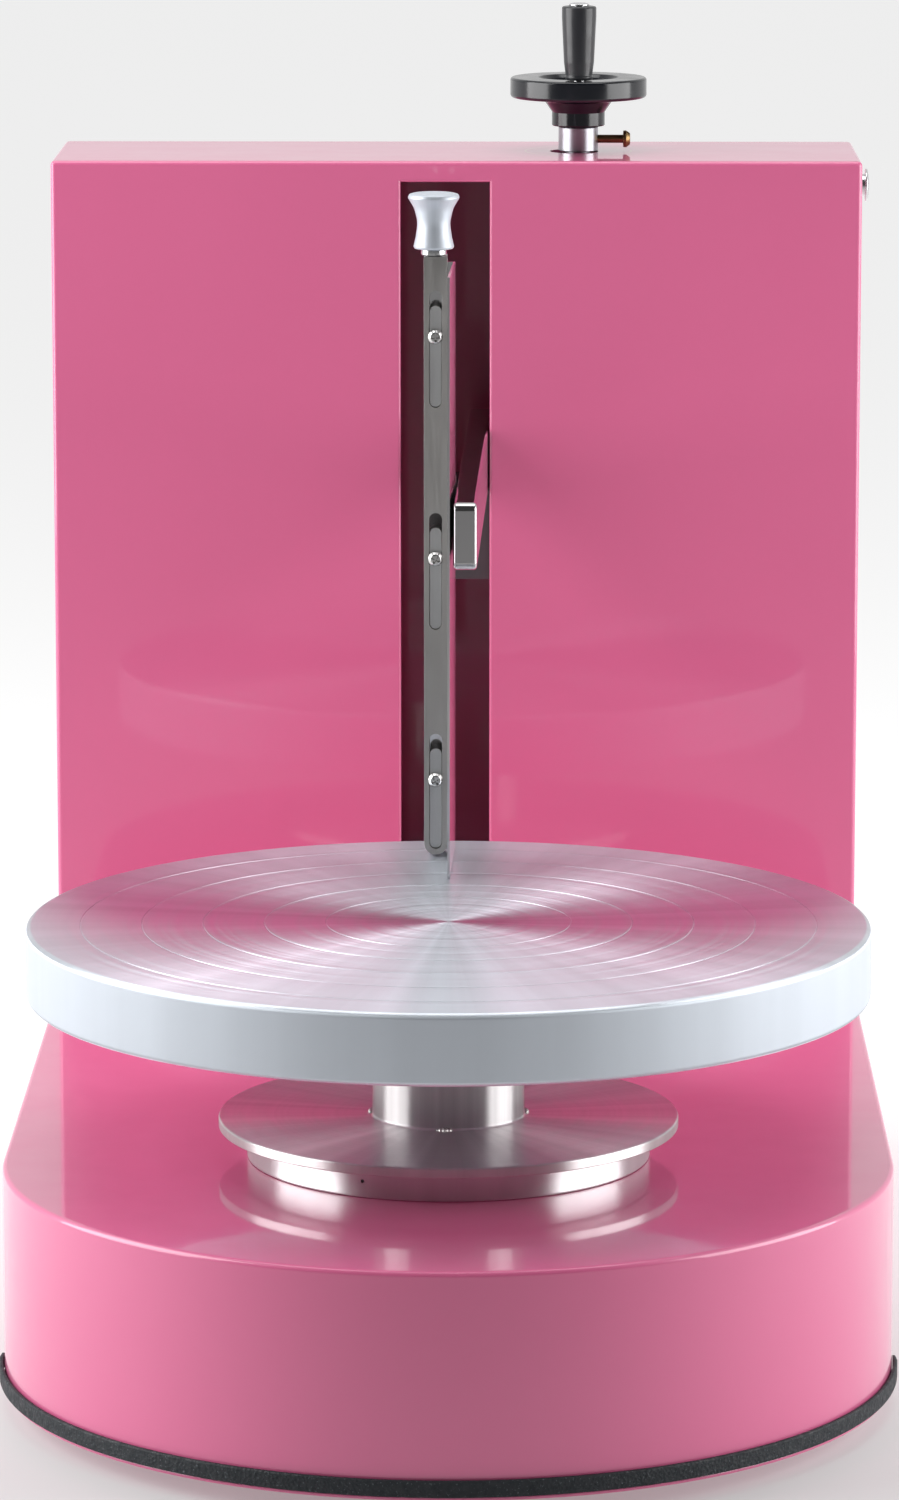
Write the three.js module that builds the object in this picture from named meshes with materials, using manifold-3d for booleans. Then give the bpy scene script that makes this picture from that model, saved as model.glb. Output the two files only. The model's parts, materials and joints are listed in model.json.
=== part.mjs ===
// A cake icing turntable: a D-shaped base with a motor-driven aluminium plate, and a column whose
// handwheel raises a carriage with a sliding arm, a scraper bar and a stainless blade.
// Millimetres, +Z up, -Y is the front. The plate turns about x = 0, y = 0 of the inner group, and
// the outer group puts the origin under the middle of the bounding box.
import * as THREE from 'three';
import { mergeVertices } from 'three/addons/utils/BufferGeometryUtils.js';
import Module from 'manifold-3d';

const wasm = await Module();
wasm.setup();

// ---- Driving dimensions ---------------------------------------------------------------------

const GAP = 0.3; // clearance between pieces that touch
const SHEET = 1.5; // sheet-metal thickness

const FOOT_HEIGHT = 8;
const FOOT_RADIUS = 13;
const FLOOR_THICKNESS = 1.4; // bottom plate
const FLOOR_TOP = FOOT_HEIGHT + FLOOR_THICKNESS;
const SHELL_BOTTOM = FLOOR_TOP + GAP;
const TRIM_HEIGHT = 6.9;
const TRIM_THICKNESS = 1.8;
const TRIM_STANDOFF = 0.5;

const BASE_RADIUS = 185; // plan radius of the round front, and half the width
const NOSE_Y = -8.7; // centre of the round front
const BASE_TOP = 100.1;

const COLUMN_FRONT = 328.6;
const COLUMN_BACK = 430.6;
const COLUMN_BOTTOM = BASE_TOP + GAP;
const COLUMN_TOP = 483.1;
const RETURN_FLANGE = 14; // flanges that the rear cover is screwed to

const SLOT_LEFT = -25.4;
const SLOT_RIGHT = 15.3;
const SLOT_BOTTOM = 129;
const SLOT_TOP = 473.5;
const SLOT_LIP = 8; // depth of the folded edge of the slot

const PLATE_RADIUS = 175;
const PLATE_TOP = 198.6;
const PLATE_THICKNESS = 29.3;
const PLATE_EDGE = 2.5;
const FLANGE_RADIUS = 95.7;
const FLANGE_TOP = 117.2;
const FLANGE_THICKNESS = 4.4;
const BOSS_RADIUS = 31.7;
const SEAT_RADIUS = 83.9;
const SPINDLE_RADIUS = 15;
const PULLEY_BOTTOM = 52;
const PULLEY_HEIGHT = 14;
const DRIVEN_PULLEY_RADIUS = 48;
const MOTOR_PULLEY_RADIUS = 12;
const MOTOR_Y = 150;
const BELT_THICKNESS = 2.4;

const SCREW_X = 56; // lead screw and handwheel axis
const SCREW_Y = 381;
const SCREW_RADIUS = 7;
const ROD_RADIUS = 6;
const ROD_OFFSET = 27; // guide rods, either side of the lead screw
const LOWER_BLOCK_TOP = 120;
const UPPER_BLOCK_BOTTOM = 462;

const BAR_LEFT = -12; // scraper bar
const BAR_RIGHT = -2;
const BAR_FRONT = 136;
const BAR_DEPTH = 12;
const BAR_BOTTOM = 199.7;
const BAR_TOP = 460.2;
const BAR_SLOT_HALF = 2.8;
const BAR_SLOTS = [[202.3, 253], [298.7, 349.6], [395.2, 445.6]];
const BLADE_SCREW_HEIGHTS = [232.8, 329.7, 425.8];

const ARM_LEFT = 1;
const ARM_RIGHT = 11;
const ARM_FRONT = 95;
const ARM_BACK = 405;
const ARM_BOTTOM = 330.7;
const ARM_TOP = 359.7;
const ARM_CORNER = 3.5;
const ARM_YAW = 0.9; // degrees that the arm runs to the right on its way back
const ARM_SIDE = 15.6; // what stands beside the arm starts here, right of it
const ARM_STEP = 0.8; // the carriage block stands this much further right than the bracket

const BLADE_RIGHT = -0.4; // right face of the sheet at its front edge
const BLADE_LEAN = 1.85; // sideways run of the sheet from its front edge to its bend
const BLADE_FRONT = 87;
const BLADE_TOP = 456.7;
const BLADE_THICKNESS = 1;
const FLANGE_FRONT_Y = BAR_FRONT + BAR_DEPTH + GAP; // blade flange, behind the bar

const BRACKET_LEFT = -3.5;
const BRACKET_RIGHT = 45;
const BRACKET_FRONT = 340;
const BRACKET_BOTTOM = 288.7;
const CARRIAGE_RIGHT = 102;
const CARRIAGE_FRONT = BRACKET_FRONT + 6 + GAP;
const CARRIAGE_BACK = 400;
const CARRIAGE_BOTTOM = 296;
const CARRIAGE_TOP = 350;

const COLLAR_RADIUS = 9.15;
const COLLAR_TOP = 494.6;
const COLLAR_HOLE_RADIUS = 12; // in the column's top, a little off the screw's axis
const COLLAR_HOLE_SHIFT = 1;
const HANDWHEEL_RADIUS = 31.5;
const HANDWHEEL_TOP = 517.3;
const CRANK_RADIUS = 22;
const CRANK_TOP = 551.3;

const SIDE_BUTTON_Y = 368;
const SIDE_BUTTON_Z = 468.7;
const SIDE_BUTTON_REACH = 5;
const ROCKER_Y = 45;
const ROCKER_Z = 48;
const SPEED_KNOB_X = 120; // on the back, beside the inlet
const SPEED_KNOB_Z = 55;
const SPEED_KNOB_REACH = 15;
const INLET_X = -120;
const INLET_Z = 55;
const INLET_REACH = 2.5;

// ---- Materials ------------------------------------------------------------------------------

function material(color, metalness, roughness) {
  return new THREE.MeshStandardMaterial({ color, metalness, roughness });
}

const pinkPaint = material(0xd4648f, 0, 0.15);
const turnedAluminium = material(0xc4c9d2, 1, 0.3);
const stainless = material(0xb4b2b3, 1, 0.2);
const darkSteel = material(0x4a4747, 1, 0.4);
const castIron = material(0x5b5d60, 0.8, 0.6);
const blackPlastic = material(0x14161a, 0, 0.2);
const blackRubber = material(0x2c3034, 0, 0.85);
const brass = material(0x9a7440, 1, 0.3);
const circuitGreen = material(0x1f5b3a, 0, 0.5);

// ---- Solids ---------------------------------------------------------------------------------

function solidOf(geometry) {
  const plain = geometry.index ? geometry.toNonIndexed() : geometry.clone();
  plain.deleteAttribute('normal');
  plain.deleteAttribute('uv');
  const merged = mergeVertices(plain, 1e-4);
  return new wasm.Manifold(
    new wasm.Mesh({
      numProp: 3,
      vertProperties: new Float32Array(merged.attributes.position.array),
      triVerts: new Uint32Array(merged.index.array),
    }),
  );
}

function geometryOf(solid) {
  const mesh = solid.getMesh();
  const geometry = new THREE.BufferGeometry();
  geometry.setAttribute('position', new THREE.BufferAttribute(mesh.vertProperties, 3));
  geometry.setIndex(new THREE.BufferAttribute(mesh.triVerts, 1));
  geometry.computeVertexNormals();
  return geometry;
}

function box([x0, x1], [y0, y1], [z0, z1]) {
  const geometry = new THREE.BoxGeometry(x1 - x0, y1 - y0, z1 - z0);
  geometry.translate((x0 + x1) / 2, (y0 + y1) / 2, (z0 + z1) / 2);
  return solidOf(geometry);
}

// A prism of an XY outline between two heights.
function prism(outline, z0, z1, curveSegments = 12) {
  const geometry = new THREE.ExtrudeGeometry(outline, {
    depth: z1 - z0,
    bevelEnabled: false,
    curveSegments,
  });
  geometry.translate(0, 0, z0);
  return solidOf(geometry);
}

// A solid of revolution about Z from [radius, z] points, on the axis at both ends or closed.
function turned(profile, segments = 20, x = 0, y = 0) {
  const geometry = new THREE.LatheGeometry(profile.map(([r, z]) => new THREE.Vector2(r, z)), segments);
  geometry.rotateX(Math.PI / 2);
  geometry.translate(x, y, 0);
  return solidOf(geometry);
}

function cylinder(radius, z0, z1, segments = 16, x = 0, y = 0) {
  return turned([[0, z0], [radius, z0], [radius, z1], [0, z1]], segments, x, y);
}

function ring(outer, inner, z0, z1, segments = 20, x = 0, y = 0) {
  return turned([[inner, z0], [outer, z0], [outer, z1], [inner, z1], [inner, z0]], segments, x, y);
}

const alongX = (solid) => solid.rotate([0, 90, 0]); // z becomes x
const alongY = (solid) => solid.rotate([-90, 0, 0]); // z becomes y

// The D outline of the base: round in front, straight sides, straight back.
function dOutline(radius, backY) {
  const outline = new THREE.Shape();
  outline.moveTo(radius, backY);
  outline.lineTo(-radius, backY);
  outline.lineTo(-radius, NOSE_Y);
  outline.absarc(0, NOSE_Y, radius, Math.PI, 2 * Math.PI, false);
  outline.closePath();
  return outline;
}

// An upright slot with round ends, as an outline in x and z, cut along Y.
function slotAlongY(x, halfWidth, z0, z1, y0, y1) {
  const outline = new THREE.Shape();
  outline.moveTo(x + halfWidth, z0 + halfWidth);
  outline.lineTo(x + halfWidth, z1 - halfWidth);
  outline.absarc(x, z1 - halfWidth, halfWidth, 0, Math.PI, false);
  outline.lineTo(x - halfWidth, z0 + halfWidth);
  outline.absarc(x, z0 + halfWidth, halfWidth, Math.PI, 2 * Math.PI, false);
  return prism(outline, -y1, -y0, 6).rotate([90, 0, 0]);
}

// ---- Scene ----------------------------------------------------------------------------------

const machine = new THREE.Group();

function add(name, solid, mat) {
  const mesh = new THREE.Mesh(geometryOf(solid), mat);
  mesh.name = name;
  machine.add(mesh);
  return mesh;
}

// A pan-head screw along +Z from z = 0 at the underside of its head.
function panScrew(headRadius, headHeight, shankRadius, shankLength) {
  return turned([
    [0, -shankLength],
    [shankRadius, -shankLength],
    [shankRadius, 0],
    [headRadius, 0],
    [headRadius, headHeight * 0.45],
    [headRadius * 0.72, headHeight],
    [0, headHeight],
  ], 10);
}

// ---- Base -----------------------------------------------------------------------------------

function buildBase() {
  const seatHole = cylinder(46, BASE_TOP - 5, BASE_TOP + 5, 24);
  const wiringHole = cylinder(12, BASE_TOP - 5, BASE_TOP + 5, 16, -110, 380);
  const rockerHole = box([180, 190], [ROCKER_Y - 10, ROCKER_Y + 10], [ROCKER_Z - 7, ROCKER_Z + 7]);
  const knobHole = alongY(cylinder(4, 425, 435, 16)).translate([SPEED_KNOB_X, 0, SPEED_KNOB_Z]);
  const inletHole = box([INLET_X - 14, INLET_X + 14], [425, 435], [INLET_Z - 10.5, INLET_Z + 10.5]);
  const base = prism(dOutline(BASE_RADIUS, COLUMN_BACK), SHELL_BOTTOM, BASE_TOP, 24)
    .subtract(prism(dOutline(BASE_RADIUS - SHEET, COLUMN_BACK - SHEET), 0, BASE_TOP - SHEET, 24))
    .subtract(seatHole)
    .subtract(wiringHole)
    .subtract(rockerHole)
    .subtract(knobHole)
    .subtract(inletHole);
  add('base_shell', base, pinkPaint);
  add('bottom_plate', prism(dOutline(BASE_RADIUS + 0.6, COLUMN_BACK), FOOT_HEIGHT, FLOOR_TOP, 24), pinkPaint);
}

// The rubber strip goes round the front half of the base and ends where the sides turn straight.
function buildTrim() {
  const inner = BASE_RADIUS + TRIM_STANDOFF;
  const outer = inner + TRIM_THICKNESS;
  const strip = new THREE.Shape();
  strip.absarc(0, NOSE_Y, outer, Math.PI, 2 * Math.PI, false);
  strip.absarc(0, NOSE_Y, inner, 2 * Math.PI, Math.PI, true);
  strip.closePath();
  add('edge_trim', prism(strip, SHELL_BOTTOM, SHELL_BOTTOM + TRIM_HEIGHT, 24), blackRubber);
}

function buildFeet() {
  const places = { front_left: [-95, -75], front_right: [95, -75], rear_left: [-150, 385], rear_right: [150, 385] };
  for (const [place, [x, y]] of Object.entries(places)) {
    const foot = turned([
      [0, 0],
      [FOOT_RADIUS - 2, 0],
      [FOOT_RADIUS, FOOT_HEIGHT - GAP],
      [0, FOOT_HEIGHT - GAP],
    ], 16, x, y);
    add(`foot_${place}`, foot, blackRubber);
  }
}

// ---- Column ---------------------------------------------------------------------------------

function buildColumn() {
  const side = [-BASE_RADIUS, BASE_RADIUS];
  const inside = [-BASE_RADIUS + SHEET, BASE_RADIUS - SHEET];
  const rearOpening = [-BASE_RADIUS + RETURN_FLANGE, BASE_RADIUS - RETURN_FLANGE];
  const lip = box(
    [SLOT_LEFT - SHEET, SLOT_RIGHT + SHEET],
    [COLUMN_FRONT, COLUMN_FRONT + SLOT_LIP],
    [SLOT_BOTTOM - SHEET, SLOT_TOP + SHEET],
  );
  const slot = box([SLOT_LEFT, SLOT_RIGHT], [COLUMN_FRONT - 5, COLUMN_FRONT + 20], [SLOT_BOTTOM, SLOT_TOP]);
  const holeX = SCREW_X - COLLAR_HOLE_SHIFT;
  const holeY = SCREW_Y - COLLAR_HOLE_SHIFT;
  const collarHole = cylinder(COLLAR_HOLE_RADIUS, COLUMN_TOP - 5, COLUMN_TOP + 5, 24, holeX, holeY);
  const column = box(side, [COLUMN_FRONT, COLUMN_BACK], [COLUMN_BOTTOM, COLUMN_TOP])
    .subtract(box(inside, [COLUMN_FRONT + SHEET, COLUMN_BACK - SHEET], [0, COLUMN_TOP - SHEET]))
    .subtract(box(rearOpening, [COLUMN_BACK - 5, COLUMN_BACK + 5], [0, COLUMN_TOP - RETURN_FLANGE]))
    .add(lip)
    .subtract(slot)
    .subtract(collarHole)
    .subtract(alongX(cylinder(6.3, 180, 190, 20)).translate([0, SIDE_BUTTON_Y, SIDE_BUTTON_Z]))
    .subtract(coverScrewHoles(1.9, COLUMN_BACK - 5, COLUMN_BACK + 5));
  add('column_shell', column, pinkPaint);
}

const COVER_SCREW_HEAD = 2.2;
const COVER_SCREWS = [-178, 178].flatMap((x) => [130, 455].map((z) => [x, z]));

function coverScrewHoles(radius, y0, y1) {
  const holes = COVER_SCREWS.map(([x, z]) => alongY(cylinder(radius, y0, y1, 12)).translate([x, 0, z]));
  return wasm.Manifold.union(holes);
}

// The rear cover closes the back of the column. Two rows of slots let the heat out.
function buildRearCover() {
  const front = COLUMN_BACK + GAP;
  const back = front + SHEET;
  let cover = box([-BASE_RADIUS + 1, BASE_RADIUS - 1], [front, back], [COLUMN_BOTTOM + 1, COLUMN_TOP - 1])
    .subtract(coverScrewHoles(1.9, front - 5, back + 5));
  for (const x of [-110, 110]) {
    for (let row = 0; row < 6; row += 1) {
      const z = 170 + row * 12;
      cover = cover.subtract(box([x - 30, x + 30], [front - 5, back + 5], [z, z + 4]));
    }
  }
  add('rear_cover', cover, pinkPaint);
  COVER_SCREWS.forEach(([x, z], index) => {
    const screw = panScrew(3.4, COVER_SCREW_HEAD, 1.6, 8).rotate([-90, 0, 0]).translate([x, back + GAP, z]);
    add(`cover_screw_${index + 1}`, screw, stainless);
  });
}

// ---- Turntable drive ------------------------------------------------------------------------

const BEARING_OUTER = 31;
const BEARING_HEIGHT = 16;
const UPPER_BEARING_Z = 93;
const LOWER_BEARING_Z = 71;

function buildBearingSeat() {
  const top = FLANGE_TOP - FLANGE_THICKNESS - 0.4;
  const bore = BEARING_OUTER + GAP;
  const shoulder = 27;
  const bottom = LOWER_BEARING_Z - 1;
  const seat = turned([
    [bore, bottom],
    [45, bottom],
    [45, BASE_TOP + GAP],
    [SEAT_RADIUS, BASE_TOP + GAP],
    [SEAT_RADIUS, top],
    [bore, top],
    [bore, UPPER_BEARING_Z - GAP],
    [shoulder, UPPER_BEARING_Z - GAP],
    [shoulder, LOWER_BEARING_Z + BEARING_HEIGHT + GAP],
    [bore, LOWER_BEARING_Z + BEARING_HEIGHT + GAP],
    [bore, bottom],
  ], 36);
  const grubHole = alongY(cylinder(1, -SEAT_RADIUS - 1, -SEAT_RADIUS + 5, 8))
    .translate([0, 0, BASE_TOP + 7])
    .rotate([0, 0, -24]);
  add('bearing_seat', seat.subtract(grubHole), stainless);
  const race = (z) => ring(BEARING_OUTER, SPINDLE_RADIUS + GAP, z, z + BEARING_HEIGHT);
  add('upper_bearing', race(UPPER_BEARING_Z), stainless);
  add('lower_bearing', race(LOWER_BEARING_Z), stainless);
}

function buildTurntable() {
  const underside = PLATE_TOP - PLATE_THICKNESS;
  const web = PLATE_TOP - 9; // the plate is hollow below this
  const plate = turned([
    [0, underside],
    [44, underside],
    [44, web],
    [PLATE_RADIUS - 14, web],
    [PLATE_RADIUS - 14, underside],
    [PLATE_RADIUS - 1, underside],
    [PLATE_RADIUS, underside + 1],
    [PLATE_RADIUS, PLATE_TOP - PLATE_EDGE],
    [PLATE_RADIUS - PLATE_EDGE * 0.3, PLATE_TOP - PLATE_EDGE * 0.3],
    [PLATE_RADIUS - PLATE_EDGE, PLATE_TOP],
    [0, PLATE_TOP],
  ], 72);
  add('turntable_plate', plate, turnedAluminium);
  const flangeBottom = FLANGE_TOP - FLANGE_THICKNESS;
  const bore = SPINDLE_RADIUS + GAP;
  const hub = turned([
    [bore, flangeBottom],
    [FLANGE_RADIUS, flangeBottom],
    [FLANGE_RADIUS, FLANGE_TOP - 0.5],
    [FLANGE_RADIUS - 0.5, FLANGE_TOP],
    [BOSS_RADIUS, FLANGE_TOP],
    [BOSS_RADIUS, underside - GAP],
    [bore, underside - GAP],
    [bore, flangeBottom],
  ], 44);
  add('hub_flange', hub, stainless);
  add('spindle', cylinder(SPINDLE_RADIUS, 40, underside - GAP, 20), darkSteel);
  add('driven_pulley', pulley(DRIVEN_PULLEY_RADIUS, SPINDLE_RADIUS, 28), turnedAluminium);
  const nut = prism(hexagon(22), PULLEY_BOTTOM - 8.3, PULLEY_BOTTOM - GAP)
    .subtract(cylinder(SPINDLE_RADIUS + GAP, 30, PULLEY_BOTTOM, 20));
  add('spindle_nut', nut, darkSteel);
}

function hexagon(radius) {
  const outline = new THREE.Shape();
  for (let corner = 0; corner < 6; corner += 1) {
    const angle = (corner * Math.PI) / 3;
    outline[corner === 0 ? 'moveTo' : 'lineTo'](radius * Math.cos(angle), radius * Math.sin(angle));
  }
  return outline;
}

// A flanged pulley whose groove holds the belt.
function pulley(radius, boreRadius, segments, x = 0, y = 0) {
  const groove = radius - BELT_THICKNESS - GAP;
  const top = PULLEY_BOTTOM + PULLEY_HEIGHT;
  return turned([
    [boreRadius + GAP, PULLEY_BOTTOM],
    [radius + 1, PULLEY_BOTTOM],
    [radius + 1, PULLEY_BOTTOM + 1.5],
    [groove, PULLEY_BOTTOM + 1.5],
    [groove, top - 1.5],
    [radius + 1, top - 1.5],
    [radius + 1, top],
    [boreRadius + GAP, top],
    [boreRadius + GAP, PULLEY_BOTTOM],
  ], segments, x, y);
}

function buildDrive() {
  const motorShaft = cylinder(4, 44, PULLEY_BOTTOM + PULLEY_HEIGHT + 2, 16, 0, MOTOR_Y);
  add('motor_pulley', pulley(MOTOR_PULLEY_RADIUS, 3, 16, 0, MOTOR_Y).add(motorShaft), turnedAluminium);

  const bracketTop = 48;
  const legs = [-44, 41].map((x) => box([x, x + 3], [MOTOR_Y - 45, MOTOR_Y + 45], [FLOOR_TOP + GAP, bracketTop]));
  const bracket = box([-44, 44], [MOTOR_Y - 45, MOTOR_Y + 45], [bracketTop - 3, bracketTop])
    .add(legs[0])
    .add(legs[1])
    .subtract(cylinder(12, 40, 60, 16, 0, MOTOR_Y));
  add('motor_bracket', bracket, darkSteel);
  const motor = cylinder(32, FLOOR_TOP + 2, bracketTop - 3 - GAP, 20, 0, MOTOR_Y)
    .subtract(cylinder(4 + GAP, 43, 60, 16, 0, MOTOR_Y));
  add('gear_motor', motor, castIron);
  add('drive_belt', beltSolid(), blackRubber);
}

// The belt is a loop round both pulleys with straight runs between their tangents.
function beltSolid() {
  const loop = (offset) => {
    const large = DRIVEN_PULLEY_RADIUS - BELT_THICKNESS + offset;
    const small = MOTOR_PULLEY_RADIUS - BELT_THICKNESS + offset;
    const tangent = Math.asin((large - small) / MOTOR_Y);
    const outline = new THREE.Shape();
    outline.absarc(0, 0, large, Math.PI - tangent, 2 * Math.PI + tangent, false);
    outline.absarc(0, MOTOR_Y, small, tangent, Math.PI - tangent, false);
    outline.closePath();
    return outline;
  };
  const z0 = PULLEY_BOTTOM + 1.5 + GAP;
  const z1 = PULLEY_BOTTOM + PULLEY_HEIGHT - 1.5 - GAP;
  return prism(loop(BELT_THICKNESS), z0, z1, 10).subtract(prism(loop(0), z0 - 1, z1 + 1, 10));
}

function buildElectronics() {
  const boardTop = 22;
  const board = box([60, 160], [190, 260], [boardTop - 2, boardTop])
    .add(box([70, 90], [200, 240], [boardTop - 1, boardTop + 14]))
    .add(box([110, 140], [205, 225], [boardTop - 1, boardTop + 20]))
    .add(box([64, 72], [194, 202], [FLOOR_TOP + GAP, boardTop - 1]))
    .add(box([148, 156], [248, 256], [FLOOR_TOP + GAP, boardTop - 1]));
  add('control_board', board, circuitGreen);
  add('power_supply', box([-160, -60], [230, 330], [FLOOR_TOP + GAP, 50]), stainless);
}

// ---- Controls -------------------------------------------------------------------------------

function buildControls() {
  const wall = BASE_RADIUS;
  const at = (solid, y, z) => alongX(solid).translate([0, y, z]);

  const frame = box([wall - 12, wall + 0.6], [ROCKER_Y - 9.7, ROCKER_Y + 9.7], [ROCKER_Z - 6.7, ROCKER_Z + 6.7])
    .add(box([wall + GAP, wall + 1.2], [ROCKER_Y - 12, ROCKER_Y + 12], [ROCKER_Z - 9, ROCKER_Z + 9]))
    .subtract(box([wall - 9, wall + 5], [ROCKER_Y - 8, ROCKER_Y + 8], [ROCKER_Z - 6, ROCKER_Z + 6]));
  add('rocker_frame', frame, blackPlastic);
  add('power_rocker', rockerSolid(wall), blackPlastic);

  const back = COLUMN_BACK;
  const onBack = (solid) => alongY(solid).translate([SPEED_KNOB_X, 0, SPEED_KNOB_Z]);
  const pot = cylinder(11, back - 14, back - SHEET - GAP).add(cylinder(3, back - 14, back + 6, 12));
  add('speed_pot', onBack(pot), darkSteel);
  const knob = turned([
    [0, back + 7],
    [3.3, back + 7],
    [3.3, back + 0.8],
    [11.5, back + 0.8],
    [11.5, back + 2.5],
    [9.5, back + 4],
    [9, back + SPEED_KNOB_REACH - 1],
    [8, back + SPEED_KNOB_REACH],
    [0, back + SPEED_KNOB_REACH],
  ]);
  add('speed_knob', onBack(knob), blackPlastic);

  const bezel = ring(9.35, 5.4, wall + GAP, wall + 1.2).add(ring(6, 5.4, wall - 14, wall + 1));
  add('button_bezel', at(bezel, SIDE_BUTTON_Y, SIDE_BUTTON_Z), stainless);
  const cap = turned([
    [0, wall - 9],
    [5.1, wall - 9],
    [5.1, wall + 3.2],
    [7.6, wall + 3.2],
    [7, wall + 4.2],
    [4, wall + SIDE_BUTTON_REACH - 0.2],
    [0, wall + SIDE_BUTTON_REACH],
  ]);
  add('push_button', at(cap, SIDE_BUTTON_Y, SIDE_BUTTON_Z), stainless);

  const recess = box([INLET_X - 12, INLET_X + 12], [COLUMN_BACK - 14, COLUMN_BACK + 10], [INLET_Z - 8, INLET_Z + 8]);
  let inlet = box([INLET_X - 13.7, INLET_X + 13.7], [COLUMN_BACK - 18, COLUMN_BACK + 1], [INLET_Z - 10.2, INLET_Z + 10.2])
    .add(box(
      [INLET_X - 25, INLET_X + 25],
      [COLUMN_BACK + GAP, COLUMN_BACK + INLET_REACH],
      [INLET_Z - 14, INLET_Z + 14],
    ))
    .subtract(recess);
  for (const [dx, dz] of [[-7, -2], [7, -2], [0, 3]]) {
    const [x, z] = [INLET_X + dx, INLET_Z + dz];
    inlet = inlet.add(box([x - 1, x + 1], [COLUMN_BACK - 15, COLUMN_BACK - 3], [z - 2, z + 2]));
  }
  add('inlet_socket', inlet, blackPlastic);
}

// A rocker that turns about a level pin behind the wall, with its lower half pressed in.
function rockerSolid(wall) {
  const profile = new THREE.Shape();
  profile.moveTo(wall - 5, -5);
  profile.lineTo(wall - 0.6, -5);
  profile.lineTo(wall + 0.2, 0);
  profile.lineTo(wall + 1, 5);
  profile.lineTo(wall - 5, 5);
  profile.closePath();
  return prism(profile, -7.5, 7.5).rotate([90, 0, 0]).translate([0, ROCKER_Y, ROCKER_Z]);
}

// ---- Lift -----------------------------------------------------------------------------------

const ROD_XS = [SCREW_X - ROD_OFFSET, SCREW_X + ROD_OFFSET];
const ROD_END = 12; // depth of a rod's end in its block
const SCREW_BEARING_RADIUS = 13;
const SCREW_BEARING_HEIGHT = 8;

// Each block holds the ends of both rods in blind holes, and a ball bearing in a recess.
function rodBlock(z0, z1, openZ, bearingZ) {
  let block = box([12, 100], [SCREW_Y - 17, SCREW_Y + 17], [z0, z1]);
  const [holeBottom, holeTop] = openZ;
  for (const x of ROD_XS) {
    block = block.subtract(cylinder(ROD_RADIUS + GAP, holeBottom, holeTop, 16, x, SCREW_Y));
  }
  return block
    .subtract(cylinder(SCREW_BEARING_RADIUS + GAP, bearingZ[0], bearingZ[1], 20, SCREW_X, SCREW_Y));
}

function buildLiftFrame() {
  const rodBottom = LOWER_BLOCK_TOP - ROD_END;
  const rodTop = UPPER_BLOCK_BOTTOM + ROD_END;
  const lowerBearing = LOWER_BLOCK_TOP - SCREW_BEARING_HEIGHT;
  add(
    'lower_rod_block',
    rodBlock(
      COLUMN_BOTTOM,
      LOWER_BLOCK_TOP,
      [rodBottom - GAP, LOWER_BLOCK_TOP + 5],
      [lowerBearing - GAP, LOWER_BLOCK_TOP + 5],
    ),
    castIron,
  );
  const upperBlock = rodBlock(
    UPPER_BLOCK_BOTTOM,
    COLUMN_TOP - SHEET - GAP,
    [UPPER_BLOCK_BOTTOM - 5, rodTop + GAP],
    [UPPER_BLOCK_BOTTOM - 5, UPPER_BLOCK_BOTTOM + SCREW_BEARING_HEIGHT + GAP],
  ).subtract(cylinder(COLLAR_HOLE_RADIUS + 1, 400, COLUMN_TOP, 20, SCREW_X, SCREW_Y));
  add('upper_rod_block', upperBlock, castIron);
  for (const [name, x] of [['guide_rod_left', ROD_XS[0]], ['guide_rod_right', ROD_XS[1]]]) {
    add(name, cylinder(ROD_RADIUS, rodBottom, rodTop, 16, x, SCREW_Y), stainless);
  }
  for (const [name, z] of [['lower_screw_bearing', lowerBearing], ['upper_screw_bearing', UPPER_BLOCK_BOTTOM]]) {
    const race = ring(SCREW_BEARING_RADIUS, 5 + GAP, z, z + SCREW_BEARING_HEIGHT, 16, SCREW_X, SCREW_Y);
    add(name, race, stainless);
  }
}

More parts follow.
